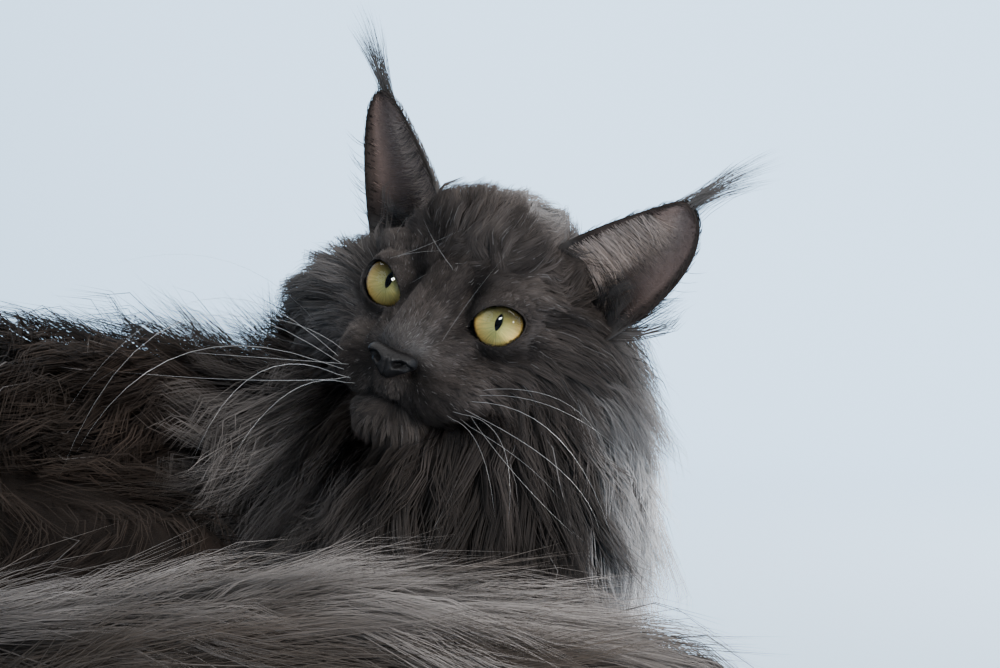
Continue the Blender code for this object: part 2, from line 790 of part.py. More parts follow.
def run_back(along, ray):
    """The coat of the trunk lies to the rump and hangs down its sides."""
    return along * 0.80 + Vector((0.0, 0.0, -0.55)) * (0.35 + abs(ray.xy.length))


def run_down(along, ray):
    """The ruff hangs, and spreads a little from its root."""
    return Vector((0.0, 0.0, -1.0)) + ray * 0.30


def run_to_tip(along, ray):
    """The tail's plume lies to its tip and sinks at its sides."""
    return along + ray * 0.25 + Vector((0.0, 0.0, -0.15))


def spread(count, low, high):
    """Even angles in degrees from low to high, in radians."""
    return [math.radians(low + (high - low) * (i + 0.5) / count) for i in range(count)]


def grow_resting(piece, own, stations, ends, pattern, shape, lie_of, obstacles, draw):
    """Rows of locks on a piece of the trunk or tail, between two places on its centreline."""
    start, end = ends
    rows, per_row, sweep = pattern
    coat = Coat(piece, own, obstacles, draw)
    for row in range(rows):
        t = start + (end - start) * (row + 0.5) / rows
        centre, along = centre_at(stations, t)
        stagger = (row % 2 - 0.5) * 0.5 * 2 * sweep / per_row
        angles = spread(per_row, stagger - sweep, stagger + sweep)
        coat.ring(centre, along, angles, *shape, lie_of)
    coat.finish()


def grow_cheeks(head, own, obstacles, draw):
    """The long fur of the cheeks, which stands out sideways and hangs from the ears to the jaw."""
    coat = Coat(head, own, obstacles, draw)
    frame = head_frame()
    turn = frame.to_3x3()
    for side in (1, -1):
        for row, back in enumerate(CHEEK_ROWS):
            for angle in spread(CHEEK_PER_ROW, *CHEEK_ANGLES):
                angle += math.radians(draw.uniform(-5, 5) + 7 * row)
                centre = frame @ Vector((0.0, back, CHEEK_HEIGHT))
                ray = turn @ Vector((side * math.cos(angle), 0.15, -math.sin(angle)))
                root, normal, _, _ = own.ray_cast(centre, ray)
                lie = turn @ Vector((side * 0.60, 0.35, -0.50)) + ray * 0.3
                length, width, thickness, lift = CHEEK_LOCK
                size = draw.uniform(*SIZES)
                coat.lock(root, normal, lie, length * size, width * size, thickness, lift)
    coat.finish()


def grow_ruff(neck, own, obstacles, draw):
    """Rings of hanging locks round the neck."""
    coat = Coat(neck, own, obstacles, draw)
    for row in range(RUFF_ROWS):
        t = (len(NECK) - 1) * (row + 0.35) / RUFF_ROWS
        place = along_row(NECK, t)
        stagger = 180 / RUFF_PER_ROW * (row % 2)
        angles = spread(RUFF_PER_ROW, stagger, stagger + 360)
        coat.ring(Vector(place[:3]), THROAT_AXIS, angles, *RUFF_LOCK, run_down)
    coat.finish()


def grow_leg(leg, own, joints, rows, per_row, obstacles, draw):
    """Locks down a folded leg, shorter towards the foot."""
    coat = Coat(leg, own, obstacles, draw)
    stations = [(*place, radius) for place, radius in joints]
    length, width, thickness, lift = LEG_LOCK
    for row in range(rows):
        t = LEG_COAT_END * (row + 0.4) / rows
        here = Vector(along_row(stations, t)[:3])
        ahead = Vector(along_row(stations, t + 0.05)[:3])
        size = 1.0 - 0.45 * row / rows
        stagger = 180 / per_row * (row % 2)
        angles = spread(per_row, stagger, stagger + 360)
        along = (ahead - here).normalized()
        coat.ring(here, along, angles, length * size, width * size, thickness, lift, run_back)
    coat.finish()


def shift_to_origin(objects):
    """Moves the whole cat so that the origin is the bottom centre of its box."""
    low, high = bounds(objects)
    offset = Vector(((low.x + high.x) / 2, (low.y + high.y) / 2, 0.0))
    for obj in objects:
        obj.data.transform(Matrix.Translation(-offset))


def build():
    clear_scene()
    draw = random.Random(SEED)
    frame = head_frame()
    eyes = [make_eye("eye_left", 1, frame), make_eye("eye_right", -1, frame)]
    nose = make_nose(frame)
    head = make_head(frame, eyes, nose)
    ears = [make_ear("ear_left", 1, frame), make_ear("ear_right", -1, frame)]
    neck = blob("neck", chain([ball(s[:3], s[3]) for s in resampled(NECK)]), NECK_TRIANGLES)
    trunk = blob("trunk", resting_hulls(TRUNK), TRUNK_TRIANGLES)
    plume = blob("tail", resting_hulls(TAIL), TAIL_TRIANGLES)
    legs = [make_leg(name, joints) for name, joints in LEGS.items()]
    face, throat, back, brush = (tree_of(obj) for obj in (head, neck, trunk, plume))
    limbs = [tree_of(leg) for leg in legs]
    flatten_on_floor(trunk)
    flatten_on_floor(plume)
    chest, loin = parted(trunk, ("chest", "loin"), TRUNK, (TRUNK_SPLIT,))
    tail = parted(plume, ("tail_base", "tail_middle", "tail_tip"), TAIL, TAIL_JOINS)
    carve(neck, eyes)
    carve(head, [neck, *ears])
    carve(chest, [neck])
    for leg in legs:
        carve(leg, [neck, chest, loin])
    for piece in tail:
        carve(piece, [loin, *legs])

    for side, ear in zip((1, -1), ears):
        ear_locks(ear, side, frame, draw)
    grow_cheeks(head, face, [throat], draw)
    grow_ruff(neck, throat, [face, back, *limbs], draw)
    around = [face, throat, brush, *limbs]
    for piece, ends in ((chest, (0.0, TRUNK_SPLIT)), (loin, (TRUNK_SPLIT, last_of(TRUNK)))):
        grow_resting(piece, back, TRUNK, ends, TRUNK_PATTERN, TRUNK_LOCK, run_back, around, draw)
    for leg, own, joints in zip(legs, limbs, LEGS.values()):
        others = [throat, back, brush, *(other for other in limbs if other is not own)]
        rows, per_row = LEG_ROWS[leg.name[:4]]
        grow_leg(leg, own, joints, rows, per_row, others, draw)
    edges = (0.0, *TAIL_JOINS, last_of(TAIL))
    for piece, *ends in zip(tail, edges, edges[1:]):
        grow_resting(piece, brush, TAIL, ends, TAIL_PATTERN, TAIL_LOCK, run_to_tip, [back, *limbs], draw)

    done = [*eyes, nose, head, *ears]
    for obj in (neck, chest, loin, *tail, *legs):
        carve(obj, [other for other in done if other not in (*eyes, nose)], LOCK_GAP)
        done.append(obj)

    fur = material("coat_smoke", SMOKE, 0.85)
    pale_fur = material("coat_frost", FROST, 0.85)
    for obj in done:
        obj.data.materials.clear()
        obj.data.materials.append(pale_fur if obj in tail or obj is neck else fur)
    iris = material("iris_gold", GOLD, 0.08)
    leather = material("nose_leather", LEATHER, 0.45)
    for obj, finish in ((eyes[0], iris), (eyes[1], iris), (nose, leather)):
        obj.data.materials[0] = finish
    shift_to_origin(done)


build()
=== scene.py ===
"""The looks of a maine coon cat lying down, its head turned to the viewer and its tail round its front.

One skin stands for all the flesh, with the eyes, nose leather, whiskers and coat as pieces of their own.
The coat is solid mesh: each strand is a closed, tapered prism rooted in the skin, and guides lead the strands.
Everything is made in the posing frame, whose -Y looks at the viewer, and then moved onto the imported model.
"""

import math

import bmesh
import bpy
import numpy as np
from mathutils import Euler, Matrix, Vector
from mathutils.bvhtree import BVHTree


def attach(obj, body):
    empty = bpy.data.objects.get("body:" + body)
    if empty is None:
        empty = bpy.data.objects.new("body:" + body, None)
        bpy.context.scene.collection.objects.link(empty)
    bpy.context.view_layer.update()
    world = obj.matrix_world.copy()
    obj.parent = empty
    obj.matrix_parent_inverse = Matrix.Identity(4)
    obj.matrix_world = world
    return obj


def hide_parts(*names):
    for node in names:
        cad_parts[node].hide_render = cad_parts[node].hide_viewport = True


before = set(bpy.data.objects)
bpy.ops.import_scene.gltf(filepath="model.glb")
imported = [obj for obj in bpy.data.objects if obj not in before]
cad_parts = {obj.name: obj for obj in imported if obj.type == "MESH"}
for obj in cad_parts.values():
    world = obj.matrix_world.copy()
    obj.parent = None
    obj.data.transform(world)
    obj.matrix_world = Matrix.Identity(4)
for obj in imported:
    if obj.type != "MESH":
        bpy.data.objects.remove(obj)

BODY = "root"
SEED = 11

# The head is posed by its own frame: +X to the cat's left, +Y to its back, +Z up, origin midway between the eyes.
HEAD_PLACE = Vector((-0.0256, 0.050, 0.224))
HEAD_TURN = Euler([math.radians(a) for a in (3.1, 20.8, -23.9)])
HEAD = Matrix.LocRotScale(HEAD_PLACE, HEAD_TURN, None)
EYE_RADIUS = 0.0145
EYE_CENTRES = {1: Vector((0.0292, 0.0035, 0.0010)), -1: Vector((-0.0292, 0.0035, -0.0012))}
EYE_OUTWARD = math.radians(13)
GAZES = {1: Vector((0.24, -0.96, 0.19)).normalized(), -1: Vector((0.14, -0.95, 0.27)).normalized()}
IRIS_RADIUS = 0.0124
PUPIL = (0.0016, 0.0042)
LID_HALF_WIDTH = 0.0130
LID_HALF_HEIGHT = 0.0096
LID_THICKNESS = 0.0018
LID_TILT = math.radians(26)

# Ear corners in the head's frame, for the cat's left ear; the right one mirrors them.
EAR_INNER = Vector((0.036, 0.030, 0.0430))
EAR_OUTERS = {1: Vector((0.072, 0.036, 0.0100)), -1: Vector((0.066, 0.036, 0.0100))}
EAR_TIP = Vector((0.0865, 0.040, 0.0780))
EAR_DEPTH = 0.026
EAR_THICKNESS = 0.0022
# Each ear's colours are scaled by its level; the far, right ear's is lower, as painted shade.
EAR_SHADE_LEVELS = {1: 0.92, -1: 0.72}
EAR_END = Vector((0.0042, 0.0, -0.0034))
EAR_ROUNDS = {1: 0.88, -1: 0.72}
EAR_INNER_BULGE = Vector((-0.003, 0.000, 0.006))
EAR_OUTER_BULGES = {1: Vector((0.026, 0.004, 0.0075)), -1: Vector((0.017, 0.004, 0.0105))}

# Middle and radii of each cheek. The right one is pushed out, because the head leans that way.
CHEEKS = {1: ((0.042, 0.038, -0.016), (0.031, 0.034, 0.036)), -1: ((-0.047, 0.040, -0.021), (0.035, 0.034, 0.038))}

# Stations of the trunk from chest to rump, and of the tail: place on the floor, half width and top of the solids' core.
TRUNK = (
    (0.004, 0.104, 0.050, 0.168),
    (-0.045, 0.144, 0.072, 0.186),
    (-0.120, 0.186, 0.084, 0.192),
    (-0.195, 0.188, 0.082, 0.204),
    (-0.260, 0.145, 0.078, 0.206),
    (-0.295, 0.085, 0.058, 0.156),
)
TAIL = (
    (-0.298, 0.055, 0.030, 0.096),
    (-0.286, -0.030, 0.034, 0.094),
    (-0.235, -0.086, 0.038, 0.100),
    (-0.160, -0.112, 0.041, 0.108),
    (-0.075, -0.122, 0.043, 0.113),
    (0.000, -0.118, 0.040, 0.106),
    (0.068, -0.100, 0.027, 0.084),
)
NECK = (
    (0.008, 0.106, 0.205, 0.052),
    (0.000, 0.105, 0.165, 0.069),
    (-0.010, 0.093, 0.122, 0.077),
    (-0.008, 0.087, 0.090, 0.069),
)
LEGS = {
    "foreleg_right": ((-0.030, 0.080, 0.100, 0.040), (-0.080, 0.056, 0.050, 0.032),
                      (0.004, 0.004, 0.029, 0.024), (0.044, -0.014, 0.024, 0.025)),
    "foreleg_left": ((0.016, 0.172, 0.118, 0.044), (-0.040, 0.204, 0.050, 0.032),
                     (0.056, 0.166, 0.029, 0.024), (0.100, 0.148, 0.024, 0.025)),
    "hindleg_right": ((-0.262, 0.104, 0.098, 0.056), (-0.162, 0.066, 0.084, 0.044),
                      (-0.244, 0.006, 0.036, 0.027), (-0.142, -0.010, 0.023, 0.024)),
    "hindleg_left": ((-0.282, 0.188, 0.092, 0.056), (-0.190, 0.256, 0.082, 0.044),
                     (-0.292, 0.264, 0.034, 0.027), (-0.186, 0.290, 0.023, 0.024)),
}
FLESH = ("head", "ear_left", "ear_right", "neck", "chest", "loin", "tail_base", "tail_middle", "tail_tip", *LEGS)

# How far the skin lies inside the solids' cores, and how high the coat stands over the skin.
DEPTHS = {"head": 0.0014, "neck": 0.005, "trunk": 0.004, "tail": 0.007, "leg": 0.003}
HEIGHTS = {"neck": 0.026, "trunk": 0.0235, "tail": 0.027, "leg": 0.012}
LENGTHS = {"neck": 0.066, "trunk": 0.054, "tail": 0.085, "leg": 0.030}
BODY_VOXEL = 0.004
HEAD_VOXEL = 0.0012
FLOOR = 0.0005
HAIR_FLOOR = 0.0016
PRESSED = 0.003

# Coat colours, linear.
SMOKE = np.array((0.0465, 0.0380, 0.0338))
RUFF = np.array((0.0275, 0.0222, 0.0190))
DARK = np.array((0.0090, 0.0073, 0.0066))
# On the trunk and hind legs, BROWN is partly the coat's brownish tone and partly painted shade, as the body lies in
# shade.
BROWN = np.array((0.0155, 0.0110, 0.0084))
FROST = np.array((0.110, 0.102, 0.098))
ASH = np.array((0.100, 0.090, 0.084))
TAWNY = np.array((0.058, 0.045, 0.036))
SILVER = np.array((0.42, 0.40, 0.39))
EAR_PINK = np.array((0.235, 0.165, 0.142))
EAR_PALE = np.array((0.300, 0.238, 0.205))
# TUFT is paler than the coat: partly the tufts' grey and partly painted light shining through their fine hairs.
TUFT = np.array((0.110, 0.100, 0.094))


def unit(v):
    return v / np.maximum(np.linalg.norm(v, axis=-1, keepdims=True), 1e-9)


def ease(x, low, high):
    """0 below low and 1 above high, with a smooth rise between; low may be the larger."""
    t = np.clip((x - low) / (high - low), 0.0, 1.0)
    return t * t * (3.0 - 2.0 * t)


def waves(points, length, channels, draw, count=7):
    """Smooth noise of about unit size at the points: sums of plane waves of about the given length."""
    out = np.zeros((len(points), channels))
    for c in range(channels):
        for _ in range(count):
            way = unit(draw.normal(size=3)) * 2 * math.pi / (length * draw.uniform(0.6, 1.6))
            out[:, c] += np.sin(points @ way + draw.uniform(0, 2 * math.pi))
    return out * math.sqrt(2.0 / count) * 0.7


def oval(centre, radii, turn=None):
    return Matrix.LocRotScale(Vector(centre), turn, Vector(radii))


def ball(centre, radius):
    return oval(centre, (radius, radius, radius))


def add_object(name, mesh):
    obj = bpy.data.objects.new(name, mesh)
    bpy.context.scene.collection.objects.link(obj)
    return obj


def mesh_from(bm, name="shape"):
    mesh = bpy.data.meshes.new(name)
    bm.to_mesh(mesh)
    bm.free()
    return mesh


def applied(obj):
    """Applies the object's modifiers."""
    bpy.context.view_layer.update()
    graph = bpy.context.evaluated_depsgraph_get()
    mesh = bpy.data.meshes.new_from_object(obj.evaluated_get(graph))
    obj.modifiers.clear()
    obj.data = mesh


def boolean(obj, operation, other):
    modifier = obj.modifiers.new("boolean", "BOOLEAN")
    modifier.operation = operation
    modifier.solver = "MANIFOLD"
    modifier.object = other
    applied(obj)
    bpy.data.objects.remove(other)


def append_hull(mesh, ovals, place):
    bm = bmesh.new()
    for each in ovals:
        bmesh.ops.create_icosphere(bm, subdivisions=4, radius=1.0, matrix=place @ each)
    if len(ovals) > 1:
        hull = bmesh.ops.convex_hull(bm, input=bm.verts)
        inner = [g for g in hull["geom_interior"] if isinstance(g, bmesh.types.BMVert)]
        bmesh.ops.delete(bm, geom=inner, context="VERTS")
        bmesh.ops.recalc_face_normals(bm, faces=bm.faces)
    part = mesh_from(bm)
    mesh.from_mesh(part)
    bpy.data.meshes.remove(part)


def blob(name, hulls, voxel, smoothing, place=Matrix.Identity(4)):
    """A smooth closed shape: hulls of ellipsoids fused by a voxel remesh."""
    bm = bmesh.new()
    for ovals in hulls:
        append_hull(bm, ovals, place)
    obj = add_object(name, mesh_from(bm, name))
    remesh = obj.modifiers.new("fuse", "REMESH")
    remesh.mode = "VOXEL"
    remesh.voxel_size = voxel
    smooth = obj.modifiers.new("soften", "SMOOTH")
    smooth.factor = 0.5
    smooth.iterations = smoothing
    obj.modifiers.new("triangles", "TRIANGULATE")
    applied(obj)
    return obj


def chain(stations):
    return [pair for pair in zip(stations, stations[1:])]


def along_row(stations, t):
    """The numbers of a row of stations at t, on a smooth curve through them."""
    last = len(stations) - 1
    i = min(int(max(t, 0.0)), last - 1)
    f = t - i
    a, b, c, d = (stations[min(max(k, 0), last)] for k in (i - 1, i, i + 1, i + 2))
    return tuple(0.5 * (2 * q + (r - p) * f + (2 * p - 5 * q + 4 * r - s) * f ** 2 + (3 * q - p - 3 * r + s) * f ** 3)
                 for p, q, r, s in zip(a, b, c, d))


def resampled(stations, per_span=3):
    spans = len(stations) - 1
    return [along_row(stations, i / per_span) for i in range(spans * per_span + 1)]


def resting_ovals(stations, depth):
    """Ellipsoids along a body that rests on the floor, inside its solid by depth."""
    return [oval((x, y, (top - depth - PRESSED) / 2), (w - depth, w - depth, (top - depth + PRESSED) / 2))
            for x, y, w, top in resampled(stations)]


def leg_ovals(stations, depth):
    return [ball(s[:3], s[3] - depth) for s in stations]


def toe_hulls(stations):
    """Four toes at the end of a leg, as pairs of balls."""
    ankle, toes = Vector(stations[-2][:3]), Vector(stations[-1][:3])
    forward = toes - ankle
    forward.z = 0.0
    forward.normalize()
    sideways = Vector((forward.y, -forward.x, 0.0))
    radius = stations[-1][3] - 0.002
    hulls = []
    for step in (-1.5, -0.5, 0.5, 1.5):
        place = toes + forward * radius * (0.95 - 0.12 * abs(step)) + sideways * step * radius * 0.42
        place.z = radius * 0.52
        hulls.append([ball(place, radius * 0.50), ball(place - forward * radius * 0.7, radius * 0.58)])
    return hulls


def eye_centre(side):
    return EYE_CENTRES[side]


def eye_axis(side):
    return Vector((side * math.sin(EYE_OUTWARD), -math.cos(EYE_OUTWARD), 0.03)).normalized()


def head_hulls(depth):
    """Ellipsoids and hulls of the head in its own frame, made smaller by depth."""
    def soft(centre, radii):
        return oval(centre, [r - depth for r in radii])

    hulls = [
        [soft((0.0, 0.046, 0.010), (0.050, 0.050, 0.044)), soft((0.0, 0.022, 0.026), (0.037, 0.025, 0.028))],
        [soft((0.0, 0.000, 0.011), (0.0135, 0.012, 0.012)), soft((0.0, -0.0295, -0.0175), (0.0125, 0.011, 0.0098))],
        [soft((0.0, -0.0185, -0.0570), (0.0215, 0.0140, 0.0135)), soft((0.0, 0.014, -0.048), (0.030, 0.026, 0.019))],
        [soft((0.0, -0.0265, -0.0360), (0.0110, 0.0118, 0.0105)), soft((0.0, -0.010, -0.036), (0.018, 0.018, 0.014))],
        [soft((0.0, 0.012, -0.006), (0.032, 0.022, 0.022)), soft((0.0, 0.018, -0.030), (0.036, 0.032, 0.026))],
    ]
    for side in (1, -1):
        hulls += [
            [soft(*CHEEKS[side]),
             soft((side * 0.029, 0.011, -0.029), (0.020, 0.020, 0.019))],
            [soft((side * 0.0185, -0.0225, -0.0370), (0.0175, 0.0140, 0.0130)),
             soft((side * 0.0250, 0.000, -0.0330), (0.0200, 0.018, 0.0180))],
            [soft((side * 0.0110, -0.0200, -0.0240), (0.0120, 0.0130, 0.0120)),
             soft((side * 0.0150, 0.0010, -0.0090), (0.0125, 0.0125, 0.0125))],
            [soft((side * 0.015, 0.005, 0.016), (0.011, 0.011, 0.010)),
             soft((side * 0.039, 0.016, 0.013), (0.012, 0.012, 0.010))],
            [ball(eye_centre(side), EYE_RADIUS + LID_THICKNESS),
             soft((side * 0.032, 0.013, -0.012), (0.017, 0.016, 0.012))],
        ]
    return hulls


def lid_axes(side):
    """Directions across and up the opening between the lids, and out of it."""
    axis = eye_axis(side)
    outward = Vector((0.0, 0.0, 1.0)).cross(axis).normalized() * side
    rise = axis.cross(outward).normalized() * side
    across = outward * math.cos(LID_TILT) + rise * math.sin(LID_TILT)
    upward = rise * math.cos(LID_TILT) - outward * math.sin(LID_TILT)
    return across, upward, axis


def lid_outline(side, steps=48, grow=0.0):
    """Points round the opening between the lids: round outside, drawn out to a point at the inner corner."""
    across, upward, _ = lid_axes(side)
    points = []
    for i in range(steps):
        turn = 2 * math.pi * i / steps
        wide = math.cos(turn) * (LID_HALF_WIDTH + grow)
        if wide < 0:
            wide *= 1.0 + 0.22 * math.cos(turn) ** 8
        tall = math.copysign(abs(math.sin(turn)) ** 1.12, math.sin(turn)) * (LID_HALF_HEIGHT + grow)
        points.append(eye_centre(side) + across * wide + upward * tall)
    return points


def lid_cutter(side):
    _, _, axis = lid_axes(side)
    outline = lid_outline(side)
    bm = bmesh.new()
    back = [bm.verts.new(HEAD @ p) for p in outline]
    front = [bm.verts.new(HEAD @ (p + axis * 0.04)) for p in outline]
    bm.faces.new(back)
    bm.faces.new(front)
    for i in range(len(outline)):
        j = (i + 1) % len(outline)
        bm.faces.new((back[i], back[j], front[j], front[i]))
    bmesh.ops.recalc_face_normals(bm, faces=bm.faces)
    bmesh.ops.triangulate(bm, faces=bm.faces)
    return add_object("lid_cutter", mesh_from(bm))


def to_head(points):
    """Points of the posing frame in the head's frame."""
    inverse = np.array(HEAD.inverted())
    return points @ inverse[:3, :3].T + inverse[:3, 3]


def turned(vectors):
    """Directions of the head's frame in the posing frame."""
    return vectors @ np.array(HEAD)[:3, :3].T


def vertex_array(mesh):
    places = np.empty(len(mesh.vertices) * 3)
    mesh.vertices.foreach_get("co", places)
    return places.reshape(-1, 3)


def normal_array(mesh):
    normals = np.empty(len(mesh.vertices) * 3)
    mesh.vertices.foreach_get("normal", normals)
    return normals.reshape(-1, 3)


def line_distance(points, line):
    """Distance of each point to a polyline."""
    best = np.full(len(points), 1.0)
    for a, b in zip(line, line[1:]):
        a, b = np.array(a), np.array(b)
        share = np.clip(((points - a) @ (b - a)) / ((b - a) @ (b - a)), 0.0, 1.0)
        best = np.minimum(best, np.linalg.norm(points - a - share[:, None] * (b - a), axis=1))
    return best


HALF_MOUTH = ((0.0, -0.0365, -0.0430), (0.0070, -0.0355, -0.0460), (0.0170, -0.0280, -0.0505),
              (0.0250, -0.0150, -0.0530))
MOUTH = tuple((-x, y, z) for x, y, z in HALF_MOUTH[:0:-1]) + HALF_MOUTH
PHILTRUM = ((0.0, -0.0400, -0.0330), (0.0, -0.0380, -0.0385), (0.0, -0.0365, -0.0430))


def make_head():
    """The head without its ears, with lids, the line of the mouth, and lips."""
    head = blob("head_skin", head_hulls(DEPTHS["head"]), HEAD_VOXEL, 24, HEAD)
    places = vertex_array(head.data)
    normals = normal_array(head.data)
    local = to_head(places)
    mouth = line_distance(local, MOUTH)
    cleft = line_distance(local, PHILTRUM)
    depth = 0.0022 * np.exp(-(mouth / 0.0014) ** 2) + 0.0013 * np.exp(-(cleft / 0.0011) ** 2)
    lip = 0.0007 * np.exp(-((mouth - 0.0030) / 0.0013) ** 2)
    places += normals * (lip - depth)[:, None]
    head.data.vertices.foreach_set("co", places.ravel())
    for side in (1, -1):
        boolean(head, "DIFFERENCE", lid_cutter(side))
        bm = bmesh.new()
        bmesh.ops.create_icosphere(bm, subdivisions=5, radius=EYE_RADIUS + 0.00015,
                                   matrix=HEAD @ Matrix.Translation(eye_centre(side)))
        boolean(head, "DIFFERENCE", add_object("socket", mesh_from(bm)))
    return head


def ear_edge(start, bulge, u, tip):
    control = (start + tip) / 2 + bulge
    return start * (1 - u) ** 2 + control * 2 * u * (1 - u) + tip * u ** 2


EAR_BACK = (EAR_TIP - EAR_INNER).cross(EAR_OUTERS[1] - EAR_INNER).normalized()


def ear_place(side, u, v):
    """A point of an ear, mirrored to the left: u runs from its base to its tip, v from inner to outer edge."""
    inner = ear_edge(EAR_INNER, EAR_INNER_BULGE, u, EAR_TIP)
    outer = ear_edge(EAR_OUTERS[side], EAR_OUTER_BULGES[side], u, EAR_TIP)
    depth = EAR_DEPTH * max(1 - u, 0.0) ** 0.8 * (1 - v * v)
    blunt = EAR_END * min(max(u, 0.0), 1.0) ** 3
    start = EAR_ROUNDS[side]
    closing = math.sqrt(max(1.0 - (max(u - start, 0.0) / (1.0 - start)) ** 2, 0.02))
    inner, outer = inner - blunt, outer + blunt
    return (inner + outer) / 2 + (outer - inner) / 2 * v * closing + EAR_BACK * depth


def ear_normal(side, u, v, step=0.02):
    """The direction out of the back of the ear at a point of it."""
    normal = (ear_place(side, u + step, v) - ear_place(side, u - step, v)).cross(
        ear_place(side, u, v + step) - ear_place(side, u, v - step)).normalized()
    return normal if normal.dot(EAR_BACK) > 0 else -normal


EAR_ROWS = 26
EAR_COLUMNS = 16
EAR_FOOT = 0.16


def make_ear(side):
    """A thin cup, open to the front, whose foot runs on into the head."""
    bm = bmesh.new()
    sheets = ([], [])
    step = 0.01
    for i in range(EAR_ROWS + 1):
        u = -EAR_FOOT + (0.975 + EAR_FOOT) * i / EAR_ROWS
        thickness = EAR_THICKNESS * (1.0 - 0.5 * max(u, 0.0))
        for j in range(EAR_COLUMNS + 1):
            v = -1 + 2 * j / EAR_COLUMNS
            point = ear_place(side, u, v)
            normal = (ear_place(side, u + step, v) - ear_place(side, u - step, v)).cross(
                ear_place(side, u, v + step) - ear_place(side, u, v - step)).normalized()
            rim = 1.0 - 0.55 * abs(v) ** 6
            for sheet, offset in zip(sheets, (0.5, -0.5)):
                place = point + normal * offset * thickness * rim
                place.x *= side
                sheet.append(bm.verts.new(HEAD @ place))
    wide = EAR_COLUMNS + 1
    for i in range(EAR_ROWS):
        for j in range(EAR_COLUMNS):
            corners = (i * wide + j, i * wide + j + 1, (i + 1) * wide + j + 1, (i + 1) * wide + j)
            for sheet in sheets:
                bm.faces.new([sheet[k] for k in corners])
    last = EAR_ROWS * wide
    rim = [*range(wide), *range(2 * wide - 1, last, wide), *range(last + wide - 1, last - 1, -1),
           *range(last - wide, 0, -wide)]
    for a, b in zip(rim, rim[1:] + rim[:1]):
        bm.faces.new((sheets[0][a], sheets[0][b], sheets[1][b], sheets[1][a]))
    bmesh.ops.recalc_face_normals(bm, faces=bm.faces)
    bmesh.ops.triangulate(bm, faces=bm.faces)
    return add_object("ear_skin", mesh_from(bm))


def make_skin():
    """One closed skin of head, ears and body."""
    hulls = chain(resting_ovals(TRUNK, DEPTHS["trunk"])) + chain(resting_ovals(TAIL, DEPTHS["tail"]))
    hulls += chain([ball(s[:3], s[3] - DEPTHS["neck"]) for s in resampled(NECK)])
    for stations in LEGS.values():
        hulls += chain(leg_ovals(stations, DEPTHS["leg"])) + toe_hulls(stations)
    body = blob("body", hulls, BODY_VOXEL, 5)
    skin = make_head()
    skin.name = "skin"
    boolean(skin, "UNION", body)
    for side in (1, -1):
        boolean(skin, "UNION", make_ear(side))
    places = vertex_array(skin.data)
    places[:, 2] = np.maximum(places[:, 2], FLOOR)
    skin.data.vertices.foreach_set("co", places.ravel())
    skin.modifiers.new("triangles", "TRIANGULATE")
    applied(skin)
    skin.data.shade_smooth()
    skin.data.update()
    return skin


class Tube:
    """The centreline of a long part, which gives places on it an angle and a share of its length."""

    def __init__(self, centres):
        self.centres = np.array(centres)
        self.along = unit(np.gradient(self.centres, axis=0))
        up = np.array((0.0, 0.0, 1.0))
        self.sideways = unit(np.cross(self.along, up) + 1e-6)
        self.upward = unit(np.cross(self.sideways, self.along))

    def place(self, points):
        gaps = ((points[:, None, :] - self.centres[None]) ** 2).sum(-1)
        near = gaps.argmin(1)
        ray = points - self.centres[near]
        x = (ray * self.sideways[near]).sum(1)
        y = (ray * self.upward[near]).sum(1)
        return near / (len(self.centres) - 1), np.arctan2(x, y), self.along[near], unit(ray)


def resting_line(stations):
    return Tube([(x, y, 0.5 * top) for x, y, _, top in resampled(stations, 12)])


TUBES = {"neck": Tube([s[:3] for s in resampled(NECK, 12)]), "trunk": resting_line(TRUNK), "tail": resting_line(TAIL)}
TUBES.update({name: Tube([s[:3] for s in resampled(stations, 12)]) for name, stations in LEGS.items()})
PARTS = ("head", *TUBES)
OVALS = {
    "head": [HEAD @ each for hull in head_hulls(DEPTHS["head"]) for each in hull],
    "neck": [ball(s[:3], s[3] - DEPTHS["neck"]) for s in resampled(NECK)],
    "trunk": resting_ovals(TRUNK, DEPTHS["trunk"]),
    "tail": resting_ovals(TAIL, DEPTHS["tail"]),
    **{name: [ball(s[:3], s[3] - DEPTHS["leg"]) for s in resampled(stations, 4)] for name, stations in LEGS.items()},
}
INVERSES = {part: [(np.array(m.inverted()), np.mean(m.to_scale())) for m in ovals] for part, ovals in OVALS.items()}


def part_weights(points, blend=0.005):
    """How far each point belongs to each part, softly, as shares that add up to 1."""
    gaps = np.empty((len(points), len(PARTS)))
    for column, part in enumerate(PARTS):
        best = np.full(len(points), 9.0)
        for inverse, size in INVERSES[part]:
            local = points @ inverse[:3, :3].T + inverse[:3, 3]
            best = np.minimum(best, (np.linalg.norm(local, axis=1) - 1.0) * size)
        gaps[:, column] = best
    shares = np.exp(-(gaps - gaps.min(1, keepdims=True)) / blend)
    return shares / shares.sum(1, keepdims=True)


NOSE = np.array((0.0, -0.036, -0.024))


